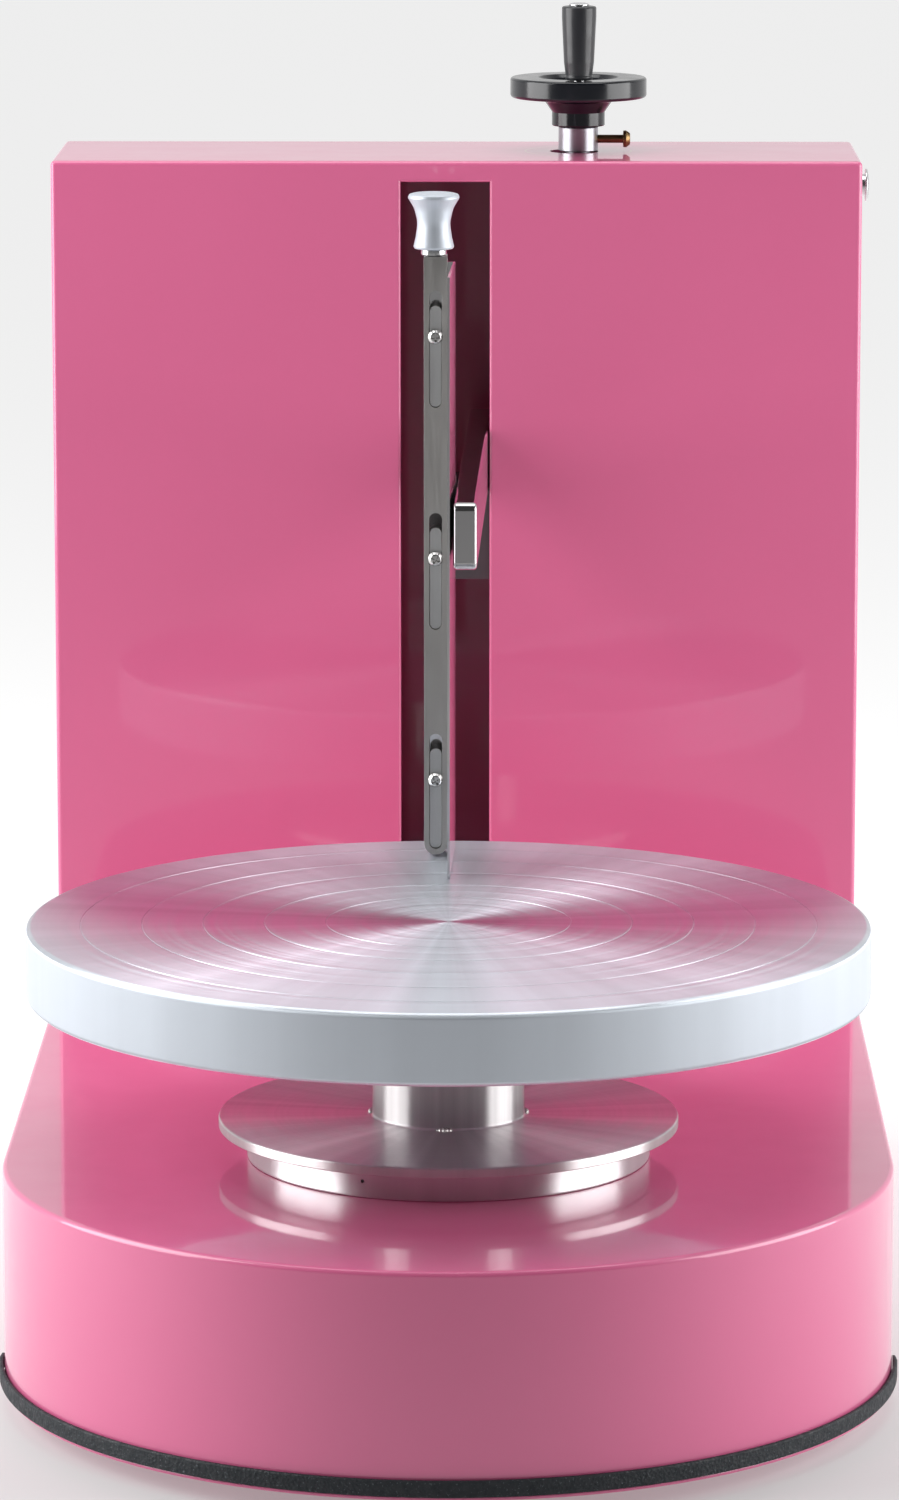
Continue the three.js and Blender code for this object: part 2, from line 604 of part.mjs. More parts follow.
function buildHandwheel() {
  const collarBottom = UPPER_BLOCK_BOTTOM + SCREW_BEARING_HEIGHT + 2;
  const journal = 5;
  const screw = turned([
    [0, LOWER_BLOCK_TOP - SCREW_BEARING_HEIGHT + GAP],
    [journal, LOWER_BLOCK_TOP - SCREW_BEARING_HEIGHT + GAP],
    [journal, LOWER_BLOCK_TOP + 0.5],
    [SCREW_RADIUS, LOWER_BLOCK_TOP + 0.5],
    [SCREW_RADIUS, UPPER_BLOCK_BOTTOM - 0.5],
    [journal, UPPER_BLOCK_BOTTOM - 0.5],
    [journal, HANDWHEEL_TOP - 12],
    [0, HANDWHEEL_TOP - 12],
  ], 16, SCREW_X, SCREW_Y);
  add('lead_screw', screw, stainless);

  const screwZ = 488.7; // brass screw through the collar
  const screwHole = alongX(cylinder(2.2, 5, 15, 12)).translate([SCREW_X, SCREW_Y, screwZ]);
  const collar = ring(COLLAR_RADIUS, journal + GAP, collarBottom, COLLAR_TOP, 24, SCREW_X, SCREW_Y)
    .subtract(screwHole);
  add('shaft_collar', collar, stainless);
  const lockScrew = alongX(panScrew(3.95, 3.2, 1.9, 15))
    .translate([SCREW_X + 20.8, SCREW_Y, screwZ]);
  add('collar_screw', lockScrew, brass);

  const hubBottom = COLLAR_TOP + GAP;
  const bore = journal + GAP;
  const wheel = turned([
    [0, HANDWHEEL_TOP - 11.7],
    [bore, HANDWHEEL_TOP - 11.7],
    [bore, hubBottom],
    [12.25, hubBottom],
    [12.25, 501.3],
    [15.25, 506.2],
    [20, 507.6],
    [HANDWHEEL_RADIUS - 1, 507.4],
    [HANDWHEEL_RADIUS, 508.4],
    [HANDWHEEL_RADIUS, HANDWHEEL_TOP - 1],
    [HANDWHEEL_RADIUS - 1, HANDWHEEL_TOP],
    [18, HANDWHEEL_TOP],
    [17, HANDWHEEL_TOP - 1],
    [15, HANDWHEEL_TOP - 4.5],
    [0, HANDWHEEL_TOP - 5],
  ], 28, SCREW_X, SCREW_Y);
  const boltHole = cylinder(3.3, HANDWHEEL_TOP - 7, HANDWHEEL_TOP + 5, 16, SCREW_X, SCREW_Y - CRANK_RADIUS);
  add('handwheel', wheel.subtract(boltHole), blackPlastic);

  const bolt = turned([
    [0, HANDWHEEL_TOP - 6.5],
    [3, HANDWHEEL_TOP - 6.5],
    [3, CRANK_TOP + 0.5],
    [4.8, CRANK_TOP + 0.5],
    [4.8, CRANK_TOP + 1.3],
    [4.2, CRANK_TOP + 1.7],
    [0, CRANK_TOP + 1.7],
  ], 16, SCREW_X, SCREW_Y - CRANK_RADIUS);
  add('crank_bolt', bolt, stainless);
  const grip = turned([
    [3.3, HANDWHEEL_TOP + 0.4],
    [6.2, HANDWHEEL_TOP + 0.4],
    [6.5, HANDWHEEL_TOP + 1.5],
    [7.6, HANDWHEEL_TOP + 13],
    [7.9, CRANK_TOP - 4],
    [7.8, CRANK_TOP - 0.8],
    [6.9, CRANK_TOP + 0.2],
    [3.3, CRANK_TOP + 0.2],
    [3.3, HANDWHEEL_TOP + 0.4],
  ], 20, SCREW_X, SCREW_Y - CRANK_RADIUS);
  add('crank_handle', grip, blackPlastic);
}

// ---- Carriage and arm -----------------------------------------------------------------------

// The arm lies on a ledge at the left of the block and of the bracket in front of it.
function buildCarriage() {
  const armRoom = box([BRACKET_LEFT - 5, ARM_SIDE + ARM_STEP], [300, 420], [ARM_BOTTOM - GAP, ARM_TOP + 5]);
  const bushRadius = 9.7;
  let block = box([BRACKET_LEFT, CARRIAGE_RIGHT], [CARRIAGE_FRONT, CARRIAGE_BACK], [CARRIAGE_BOTTOM, CARRIAGE_TOP])
    .subtract(armRoom)
    .subtract(cylinder(11.5, 200, 400, 20, SCREW_X, SCREW_Y));
  ROD_XS.forEach((x, index) => {
    block = block.subtract(cylinder(bushRadius + GAP, 200, 400, 16, x, SCREW_Y));
    const bush = ring(bushRadius, ROD_RADIUS + GAP, CARRIAGE_BOTTOM - 1, CARRIAGE_TOP + 1, 16, x, SCREW_Y);
    add(`carriage_bush_${index === 0 ? 'left' : 'right'}`, bush, stainless);
  });
  add('carriage_block', block, castIron);

  const nutBore = SCREW_RADIUS + GAP;
  const nut = turned([
    [nutBore, CARRIAGE_BOTTOM - 6],
    [16, CARRIAGE_BOTTOM - 6],
    [16, CARRIAGE_BOTTOM - GAP],
    [11, CARRIAGE_BOTTOM - GAP],
    [11, CARRIAGE_TOP - 30],
    [nutBore, CARRIAGE_TOP - 30],
    [nutBore, CARRIAGE_BOTTOM - 6],
  ], 20, SCREW_X, SCREW_Y);
  add('lift_nut', nut, brass);

  const bracket = box(
    [BRACKET_LEFT, BRACKET_RIGHT],
    [BRACKET_FRONT, CARRIAGE_FRONT - GAP],
    [BRACKET_BOTTOM, CARRIAGE_TOP],
  ).subtract(armRoom.translate([-ARM_STEP, 0, 0]));
  add('arm_bracket', bracket, darkSteel);
}

const MOUNT_BACK = 182;

function buildArm() {
  const side = new THREE.Shape(); // the arm's side view, in y and z
  side.moveTo(ARM_FRONT + ARM_CORNER, ARM_BOTTOM);
  side.lineTo(ARM_BACK, ARM_BOTTOM);
  side.lineTo(ARM_BACK, ARM_TOP);
  side.lineTo(ARM_FRONT + ARM_CORNER, ARM_TOP);
  side.absarc(ARM_FRONT + ARM_CORNER, ARM_TOP - ARM_CORNER, ARM_CORNER, Math.PI / 2, Math.PI, false);
  side.absarc(ARM_FRONT + ARM_CORNER, ARM_BOTTOM + ARM_CORNER, ARM_CORNER, Math.PI, 1.5 * Math.PI, false);
  const pivot = [(ARM_LEFT + ARM_RIGHT) / 2, ARM_FRONT];
  const arm = prism(side, ARM_LEFT, ARM_RIGHT, 6)
    .rotate([90, 0, 90])
    .translate([-pivot[0], -pivot[1], 0])
    .rotate([0, 0, -ARM_YAW])
    .translate([pivot[0], pivot[1], 0]);
  add('lift_arm', arm, stainless);
}

// The mount joins the bar to the arm through a notch in the blade's flange.
function buildScraper() {
  const barBack = BAR_FRONT + BAR_DEPTH;
  const middle = (BAR_LEFT + BAR_RIGHT) / 2;
  let bar = slotAlongY(middle, (BAR_RIGHT - BAR_LEFT) / 2, BAR_BOTTOM, BAR_TOP + 10, BAR_FRONT, barBack)
    .intersect(box([BAR_LEFT, BAR_RIGHT], [BAR_FRONT, barBack], [BAR_BOTTOM, BAR_TOP]))
    .add(box([BAR_LEFT, BAR_RIGHT], [BAR_FRONT, barBack], [BAR_BOTTOM + 6, BAR_TOP]));
  for (const [z0, z1] of BAR_SLOTS) {
    bar = bar.subtract(slotAlongY(middle, BAR_SLOT_HALF, z0, z1, BAR_FRONT - 5, barBack + 5));
  }
  add('scraper_bar', bar, stainless);

  const tongue = box([middle - 3.5, middle + 3.5], [barBack + GAP, barBack + 4], [352.5, 360]);
  const mount = box([BAR_LEFT, ARM_LEFT + 0.5], [barBack + 3, MOUNT_BACK], [336, 360])
    .add(tongue);
  add('scraper_mount', mount, darkSteel);

  const knobX = -7.8;
  const knobY = BAR_FRONT + BAR_DEPTH / 2;
  const washerTop = BAR_TOP + 2.7;
  add('knob_washer', ring(5.6, 2.3, BAR_TOP + GAP, washerTop, 16, knobX, knobY), stainless);
  const knob = turned([
    [0, washerTop + GAP],
    [8.3, washerTop + GAP],
    [8.7, washerTop + 1],
    [7.6, washerTop + 5],
    [6.9, washerTop + 11],
    [7.7, washerTop + 15.5],
    [9.8, washerTop + 20],
    [11.3, washerTop + 22.2],
    [11, washerTop + 23.2],
    [9.5, washerTop + 24],
    [0, washerTop + 24],
  ], 18, knobX, knobY);
  add('grip_knob', knob, turnedAluminium);
}

// The blade is a sheet that runs back beside the bar and turns behind it as a flange. The sheet
// leans a little to the right towards the back.
function buildBlade() {
  const flangeBack = FLANGE_FRONT_Y + BLADE_THICKNESS;
  const plan = new THREE.Shape();
  plan.moveTo(BLADE_RIGHT - BLADE_THICKNESS, BLADE_FRONT);
  plan.lineTo(BLADE_RIGHT, BLADE_FRONT);
  plan.lineTo(BLADE_RIGHT + BLADE_LEAN, flangeBack);
  plan.lineTo(BAR_LEFT + 1, flangeBack);
  plan.lineTo(BAR_LEFT + 1, FLANGE_FRONT_Y);
  plan.lineTo(BLADE_RIGHT + BLADE_LEAN - BLADE_THICKNESS, FLANGE_FRONT_Y);
  plan.closePath();
  const middle = (BAR_LEFT + BAR_RIGHT) / 2;
  const notch = box([BAR_LEFT - 5, BAR_RIGHT], [FLANGE_FRONT_Y - GAP, flangeBack + 1], [335, 361]);
  let blade = prism(plan, BAR_BOTTOM, BLADE_TOP).subtract(notch);
  BLADE_SCREW_HEIGHTS.forEach((z) => {
    blade = blade.subtract(alongY(cylinder(2.3, 140, 160, 16)).translate([middle, 0, z]));
  });
  add('scraper_blade', blade, stainless);
  BLADE_SCREW_HEIGHTS.forEach((z, index) => {
    const screw = panScrew(3.25, 2.3, 2, BAR_DEPTH + 3)
      .rotate([90, 0, 0])
      .translate([middle, BAR_FRONT - GAP, z]);
    add(`blade_screw_${index + 1}`, screw, stainless);
  });
}

// ---- Assembly -------------------------------------------------------------------------------

buildBase();
buildTrim();
buildFeet();
buildColumn();
buildRearCover();
buildBearingSeat();
buildTurntable();
buildDrive();
buildElectronics();
buildControls();
buildLiftFrame();
buildHandwheel();
buildCarriage();
buildArm();
buildScraper();
buildBlade();

const trimReach = BASE_RADIUS + TRIM_STANDOFF + TRIM_THICKNESS;
machine.position.set(
  (trimReach - BASE_RADIUS - SIDE_BUTTON_REACH) / 2,
  (trimReach - NOSE_Y - COLUMN_BACK - SPEED_KNOB_REACH) / 2,
  0,
);

const turntable = new THREE.Group();
turntable.add(machine);

export default turntable;
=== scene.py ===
"""A cake icing turntable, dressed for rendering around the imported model.

Pieces are built in millimetres about the plate's axis (x = y = 0, z from the floor, -Y the front),
and put into the frame's metres by make().
"""

import json
import math

import bmesh
import bpy
from mathutils import Matrix, Vector


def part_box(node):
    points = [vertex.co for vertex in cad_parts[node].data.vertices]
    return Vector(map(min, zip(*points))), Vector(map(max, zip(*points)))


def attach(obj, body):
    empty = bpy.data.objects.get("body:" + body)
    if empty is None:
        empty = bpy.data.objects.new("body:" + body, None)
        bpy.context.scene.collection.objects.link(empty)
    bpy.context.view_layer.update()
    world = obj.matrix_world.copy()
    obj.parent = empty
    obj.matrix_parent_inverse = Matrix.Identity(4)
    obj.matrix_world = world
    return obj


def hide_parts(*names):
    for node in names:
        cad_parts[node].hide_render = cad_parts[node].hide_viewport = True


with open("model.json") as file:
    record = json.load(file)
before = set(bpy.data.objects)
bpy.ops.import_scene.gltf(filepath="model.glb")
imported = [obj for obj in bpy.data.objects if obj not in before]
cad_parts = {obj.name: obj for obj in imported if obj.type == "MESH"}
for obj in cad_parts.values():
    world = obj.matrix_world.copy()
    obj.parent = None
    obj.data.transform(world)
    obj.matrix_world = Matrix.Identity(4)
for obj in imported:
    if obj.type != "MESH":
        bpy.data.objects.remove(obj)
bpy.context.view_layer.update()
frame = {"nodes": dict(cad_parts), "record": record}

MM = 0.001
scene = bpy.context.scene
nodes = frame["nodes"]

# ---- Places read from the frame ----

plate_low, plate_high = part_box("turntable_plate")
AXIS = Vector(((plate_low.x + plate_high.x) / 2, (plate_low.y + plate_high.y) / 2, 0))


def span(node):
    """A CAD node's lowest and highest corners in millimetres about the plate's axis."""
    low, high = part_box(node)
    return (low - AXIS) / MM, (high - AXIS) / MM


def middle(node):
    low, high = span(node)
    return (low + high) / 2


# ---- Mesh helpers ----

ARC_STEPS = 5
CUT = 5.0  # how far a cutter stands out on both sides of the face that it cuts


def about(value, half):
    """The range that reaches half to both sides of a value."""
    return value - half, value + half


def make(name, bm, origin=(0, 0, 0), turn=None):
    """An object from a mesh in millimetres, turned about its own origin and put at origin."""
    bmesh.ops.recalc_face_normals(bm, faces=bm.faces)
    if turn is not None:
        bm.transform(turn)
    bmesh.ops.scale(bm, vec=(MM, MM, MM), verts=bm.verts)
    mesh = bpy.data.meshes.new(name)
    bm.to_mesh(mesh)
    bm.free()
    obj = bpy.data.objects.new(name, mesh)
    scene.collection.objects.link(obj)
    obj.location = AXIS + Vector(origin) * MM
    return obj


def soften(points, closed):
    """A 2-D line whose corners that carry a third number are rounded to that radius."""
    line = []
    count = len(points)
    for index, point in enumerate(points):
        corner = Vector(point[:2])
        if len(point) < 3 or (not closed and index in (0, count - 1)):
            line.append(corner)
            continue
        radius = point[2]
        before = (Vector(points[index - 1][:2]) - corner).normalized()
        after = (Vector(points[(index + 1) % count][:2]) - corner).normalized()
        half = before.angle(after) / 2
        centre = corner + (before + after).normalized() * radius / math.sin(half)
        start = corner + before * radius / math.tan(half) - centre
        end = corner + after * radius / math.tan(half) - centre
        for step in range(ARC_STEPS + 1):
            part = step / ARC_STEPS
            line.append(centre + start.lerp(end, part).normalized() * radius)
    return line


def bridge(bm, lower, upper):
    """Faces between two rings of points, where either may be one point."""
    count = max(len(lower), len(upper))
    for index in range(count):
        following = (index + 1) % count
        if len(lower) == 1:
            bm.faces.new((lower[0], upper[index], upper[following]))
        elif len(upper) == 1:
            bm.faces.new((lower[index], lower[following], upper[0]))
        else:
            bm.faces.new((lower[index], lower[following], upper[following], upper[index]))


def skin(bm, rings):
    """A closed skin over rings of points, with a flat face at each end."""
    for lower, upper in zip(rings, rings[1:]):
        bridge(bm, lower, upper)
    bm.faces.new(rings[0])
    bm.faces.new(rings[-1])


UPRIGHT = Matrix.Identity(4)
TO_X = Matrix.Rotation(math.pi / 2, 4, "Y")  # z becomes x
TO_FRONT = Matrix.Rotation(math.pi / 2, 4, "X")  # z becomes -y
TO_BACK = Matrix.Rotation(-math.pi / 2, 4, "X")  # z becomes y


def lathe(name, profile, origin=(0, 0, 0), turn=UPRIGHT, segments=64, closed=False, radius_at=None):
    """A turned piece from [radius, height(, fillet)] points. radius_at can reshape each radius."""
    bm = bmesh.new()
    rings = []
    for radius, height in soften(profile, closed):
        if radius < 1e-6:
            rings.append([bm.verts.new((0, 0, height))])
            continue
        ring = []
        for step in range(segments):
            angle = 2 * math.pi * step / segments
            reach = radius_at(radius, height, angle) if radius_at else radius
            ring.append(bm.verts.new((reach * math.cos(angle), reach * math.sin(angle), height)))
        rings.append(ring)
    for lower, upper in zip(rings, rings[1:]):
        bridge(bm, lower, upper)
    if closed:
        bridge(bm, rings[-1], rings[0])
    return make(name, bm, origin, turn)


def prism(name, outline, z0, z1, origin=(0, 0, 0), turn=UPRIGHT, foot=1.0):
    """A prism of a 2-D outline. foot scales the lower end."""
    bm = bmesh.new()
    lower = [bm.verts.new((x * foot, y * foot, z0)) for x, y in outline]
    upper = [bm.verts.new((x, y, z1)) for x, y in outline]
    bridge(bm, lower, upper)
    bm.faces.new(lower)
    bm.faces.new(upper)
    return make(name, bm, origin, turn)


def block(name, x, y, z):
    """A box between (low, high) pairs, for use in cut() and join()."""
    corners = [(x[0], y[0]), (x[1], y[0]), (x[1], y[1]), (x[0], y[1])]
    return prism(name, corners, z[0], z[1])


def rod(name, radius, z0, z1, origin=(0, 0, 0), turn=UPRIGHT, segments=48):
    return lathe(name, [(0, z0), (radius, z0), (radius, z1), (0, z1)], origin, turn, segments)


def bake(obj):
    """Applies an object's modifiers to its mesh."""
    graph = bpy.context.evaluated_depsgraph_get()
    mesh = bpy.data.meshes.new_from_object(obj.evaluated_get(graph))
    obj.modifiers.clear()
    obj.data = mesh


def combine(obj, others, operation):
    for other in others:
        modifier = obj.modifiers.new("combine", "BOOLEAN")
        modifier.object = other
        modifier.operation = operation
        modifier.solver = "EXACT"
        bake(obj)
        bpy.data.objects.remove(other)
    return obj


def cut(obj, *cutters):
    return combine(obj, cutters, "DIFFERENCE")


def join(obj, *others):
    return combine(obj, others, "UNION")


def round_edges(obj, radius, pick=lambda low, high: True, segments=3, angle=35, clamp=True):
    """Rounds the sharp edges whose ends, in millimetres, pick() accepts."""
    bm = bmesh.new()
    bm.from_mesh(obj.data)
    bmesh.ops.remove_doubles(bm, verts=bm.verts, dist=1e-6)
    chosen = []
    for edge in bm.edges:
        if len(edge.link_faces) != 2 or edge.calc_face_angle(0) < math.radians(angle):
            continue
        ends = [vert.co / MM for vert in edge.verts]
        low = Vector([min(pair) for pair in zip(*ends)])
        high = Vector([max(pair) for pair in zip(*ends)])
        if pick(low, high):
            chosen.append(edge)
    bmesh.ops.bevel(
        bm, geom=chosen, offset=radius * MM, segments=segments, profile=0.5, affect="EDGES",
        clamp_overlap=clamp)
    bm.to_mesh(obj.data)
    bm.free()
    return obj


def show(obj, body, slot, material, *replaced, angle=32):
    """Finishes a piece: material, smooth shading with flat faces kept flat, body, CAD nodes. slot is not
    used.
    """
    obj.data.materials.clear()
    obj.data.materials.append(material)
    for polygon in obj.data.polygons:
        polygon.use_smooth = True
    obj.data.set_sharp_from_angle(angle=math.radians(angle))
    weighted = obj.modifiers.new("flat_faces", "WEIGHTED_NORMAL")
    weighted.keep_sharp = True
    weighted.weight = 80
    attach(obj, body)
    if replaced:
        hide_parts(*replaced)
    return obj


def body_of(node):
    for name, members in frame["record"]["behaviour"]["bodies"].items():
        if node in members:
            return name
    raise KeyError(node)


def refined(node, slot, material, radius, segments=2, angle=35, cutter=None):
    """A copy of a CAD node with its edges rounded, standing for the node. A cutter comes off first."""
    bm = bmesh.new()
    bm.from_mesh(nodes[node].data)
    bm.transform(Matrix.Translation(-AXIS) @ nodes[node].matrix_world)
    bmesh.ops.remove_doubles(bm, verts=bm.verts, dist=1e-6)
    if not cutter:  # large merged faces would be cut badly
        bmesh.ops.dissolve_limit(
            bm, angle_limit=math.radians(1), verts=bm.verts, edges=bm.edges,
            use_dissolve_boundaries=False)
    mesh = bpy.data.meshes.new(node + "_shape")
    bm.to_mesh(mesh)
    bm.free()
    obj = bpy.data.objects.new(node + "_shape", mesh)
    scene.collection.objects.link(obj)
    obj.location = AXIS
    if cutter:
        bpy.context.view_layer.update()
        cut(obj, cutter)
    round_edges(obj, radius, segments=segments, angle=angle)
    return show(obj, body_of(node), slot, material, node)


# ---- Materials ----

class Paint:
    """A Principled material with helpers for the nodes that vary it."""

    def __init__(self, name, color, metallic=0.0, roughness=0.5, **sockets):
        self.material = bpy.data.materials.new(name)
        self.material.use_nodes = True
        self.tree = self.material.node_tree
        self.shader = self.tree.nodes["Principled BSDF"]
        self.shader.inputs["Base Color"].default_value = (*color, 1)
        self.shader.inputs["Metallic"].default_value = metallic
        self.shader.inputs["Roughness"].default_value = roughness
        for socket, value in sockets.items():
            self.shader.inputs[socket.replace("_", " ")].default_value = value
        self.normal = None

    def node(self, kind, inputs=(), **settings):
        """A node with its settings, and its inputs by index or name: sockets are linked."""
        node = self.tree.nodes.new("ShaderNode" + kind)
        for setting, value in settings.items():
            setattr(node, setting, value)
        for key, value in dict(inputs).items():
            if isinstance(value, bpy.types.NodeSocket):
                self.tree.links.new(value, node.inputs[key])
            else:
                node.inputs[key].default_value = value
        return node

    def place(self, scale=(1, 1, 1)):
        """Object coordinates in metres, scaled along each axis."""
        coordinates = self.node("TexCoord").outputs["Object"]
        return self.node("Mapping", {"Vector": coordinates, "Scale": scale}).outputs[0]

    def noise(self, scale, detail=3.0, vector=None):
        vector = vector or self.place()
        node = self.node("TexNoise", {"Vector": vector, "Scale": scale, "Detail": detail})
        return node.outputs[0]

    def spread(self, value, low, high, from_low=0.3, from_high=0.7):
        """Maps a noise value onto a range."""
        inputs = {0: value, 1: from_low, 2: from_high, 3: low, 4: high}
        return self.node("MapRange", inputs).outputs[0]

    def mix(self, factor, first, second):
        inputs = {0: factor, 6: first, 7: second}
        return self.node("Mix", inputs, data_type="RGBA").outputs[2]

    def multiply(self, first, second):
        return self.node("Math", {0: first, 1: second}, operation="MULTIPLY").outputs[0]

    def color(self, factor, first, second):
        """Base colour between two colours."""
        mixed = self.mix(factor, (*first, 1), (*second, 1))
        self.tree.links.new(mixed, self.shader.inputs["Base Color"])
        return mixed

    def roughness(self, factor, low, high):
        value = self.spread(factor, low, high)
        self.tree.links.new(value, self.shader.inputs["Roughness"])

    def bump(self, height, distance_mm, strength=1.0, coat=False):
        """Adds relief on top of what is there already."""
        inputs = {"Height": height, "Distance": distance_mm * MM, "Strength": strength}
        if self.normal:
            inputs["Normal"] = self.normal
        self.normal = self.node("Bump", inputs).outputs[0]
        self.tree.links.new(self.normal, self.shader.inputs["Normal"])
        if coat:
            self.tree.links.new(self.normal, self.shader.inputs["Coat Normal"])

    def radial_tangent(self, axis="Z"):
        tangent = self.node("Tangent", direction_type="RADIAL", axis=axis).outputs[0]
        self.tree.links.new(tangent, self.shader.inputs["Tangent"])

    def around(self):
        """Distance from the object's own Z axis, and the direction round it."""
        coordinates = self.node("TexCoord").outputs["Object"]
        flat = self.node("VectorMath", {0: coordinates, 1: (1, 1, 0)}, operation="MULTIPLY").outputs[0]
        length = self.node("VectorMath", {0: flat}, operation="LENGTH").outputs["Value"]
        direction = self.node("VectorMath", {0: flat}, operation="NORMALIZE").outputs[0]
        return length, direction

    def rings(self, scale, detail=2.0):
        """Noise that changes only with the distance from the object's Z axis."""
        length, _ = self.around()
        vector = self.node("CombineXYZ", {0: length}).outputs[0]
        return self.noise(scale, detail, vector)


def shade(color, factor):
    """A darker or lighter colour."""
    return [min(channel * factor, 1) for channel in color]


PINK = (0.735, 0.145, 0.310)
RUB_TINT = (0.74, 0.50, 0.30, 1)


def pink_paint(name="pink_gloss_paint", rub=None):
    """Glossy powder coat: a faint orange peel under a clear gloss, and slight changes of tone."""
    paint = Paint(name, PINK, 0, 0.3, Coat_Weight=0.9, Coat_Roughness=0.045, Coat_IOR=1.5)
    tone = paint.spread(paint.noise(4, 2), 0, 1)
    mixed = paint.color(tone, shade(PINK, 0.97), shade(PINK, 1.03))
    paint.roughness(paint.noise(30, 3), 0.29, 0.37)
    if rub:
        wear_ring(paint, mixed, *rub)
    paint.bump(paint.noise(150, 1), 0.012, 0.3, coat=True)
    return paint.material


def wear_ring(paint, base, centre, radius_mm, width_mm):
    """A thin rubbed circle on the top panel, round a point in the object's own coordinates."""
    coordinates = paint.node("TexCoord").outputs["Object"]
    offset = paint.node("VectorMath", {0: coordinates, 1: centre}, operation="SUBTRACT").outputs[0]
    reach = paint.node("VectorMath", {0: offset}, operation="LENGTH").outputs["Value"]
    gap = paint.node("Math", {0: reach, 1: radius_mm * MM}, operation="SUBTRACT").outputs[0]
    away = paint.node("Math", {0: gap}, operation="ABSOLUTE").outputs[0]
    line = paint.spread(away, 0.75, 0, 0, width_mm * MM)
    broken = paint.multiply(line, paint.spread(paint.noise(120, 3), 0.35, 1))
    tinted = paint.mix(broken, base, RUB_TINT)
    paint.tree.links.new(tinted, paint.shader.inputs["Base Color"])


def turned_metal(
        name, color, roughness, fine=900.0, anisotropy=0.7, depth_mm=0.01, painted_sheen_amount=0.04, rotation=0.25,
        metallic=1.0):
    """Metal turned on a lathe: rings of tool marks, highlights drawn out across them, and painted sheen:
    colour lighter and darker in random rays round the axis.
    """
    metal = Paint(
        name, color, metallic, roughness, Anisotropic=anisotropy, Anisotropic_Rotation=rotation)
    metal.radial_tangent()
    rings = metal.rings(fine, 3)
    _, direction = metal.around()
    # Painted sheen: random rays round the axis, lighter and darker in colour, stand for the highlight
    # streaks that turned metal shows.
    sheen_noise = metal.noise(9, 6, direction)
    painted_sheen_rays = metal.spread(sheen_noise, 0, 1, 0.35, 0.65)
    metal.color(painted_sheen_rays, shade(color, 1 - painted_sheen_amount), shade(color, 1 + painted_sheen_amount))
    metal.roughness(rings, roughness * 0.82, roughness * 1.18)
    metal.bump(rings, depth_mm, 0.5)
    return metal.material


def brushed_metal(name, color, roughness, along="Z", stretch=40.0, depth_mm=0.006, tone=0.05):
    """Metal with fine straight marks along one axis."""
    metal = Paint(name, color, 1, roughness)
    scale = [stretch if axis != along else 1.0 for axis in "XYZ"]
    marks = metal.noise(60, 4, metal.place(scale))
    cloud = metal.noise(25, 3)
    metal.color(metal.spread(cloud, 0, 1), shade(color, 1 - tone), shade(color, 1 + tone))
    metal.roughness(marks, roughness * 0.75, roughness * 1.25)
    metal.bump(marks, depth_mm, 0.5)
    return metal.material


def gloss_black(name, color, roughness, grain=500.0, depth_mm=0.01, coat=0.6, coat_roughness=0.04):
    """Moulded black plastic with a soft skin and a faint grain."""
    plastic = Paint(name, color, 0, roughness, Coat_Weight=coat, Coat_Roughness=coat_roughness)
    cloud = plastic.noise(40, 3)
    plastic.color(plastic.spread(cloud, 0, 1), color, shade(color, 1.35))
    plastic.roughness(plastic.noise(90, 4), roughness * 0.8, roughness * 1.3)
    plastic.bump(plastic.noise(grain, 2), depth_mm, 0.5)
    return plastic.material


def grained_rubber(name, color, glint_color, grain=700.0):
    """Rubber with a coarse grain, and pale specks painted into its colour as highlights where the grain
    catches the light.
    """
    rubber = Paint(name, color, 0, 0.62, Specular_IOR_Level=0.45)
    cells = rubber.node("TexVoronoi", {"Vector": rubber.place(), "Scale": grain}).outputs["Distance"]
    # Painted highlights: pale specks at random places stand for glints off the grain.
    painted_glints = rubber.spread(rubber.noise(grain * 1.7, 2), 0, 1, 0.62, 0.78)
    rubber.color(painted_glints, color, glint_color)
    rubber.roughness(rubber.noise(grain * 0.5, 3), 0.5, 0.8)
    rubber.bump(cells, 0.35, 0.7)
    rubber.bump(rubber.noise(grain * 0.3, 3), 0.3, 0.6)
    return rubber.material


def cast_metal(name, color, roughness=0.55):
    """Sand-cast metal: pitted skin in mottled grey."""
    cast = Paint(name, color, 0.85, roughness)
    cloud = cast.noise(45, 4)
    cast.color(cast.spread(cloud, 0, 1), shade(color, 0.75), shade(color, 1.25))
    cast.roughness(cast.noise(160, 4), roughness * 0.8, roughness * 1.2)
    cast.bump(cast.noise(650, 4), 0.12, 0.6)
    return cast.material


def circuit_board():
    """Solder mask with paler tracks on a fine square lattice."""
    mask = (0.012, 0.105, 0.045)
    track = (0.03, 0.19, 0.09)
    board = Paint("solder_mask", mask, 0, 0.3, Coat_Weight=0.4)
    lattice = board.node("TexBrick", {"Vector": board.place(), "Scale": 160.0, "Mortar Size": 0.06})
    board.color(lattice.outputs["Fac"], mask, track)
    board.roughness(board.noise(200, 3), 0.3, 0.42)
    board.bump(lattice.outputs["Fac"], 0.04, 0.5)
    return board.material


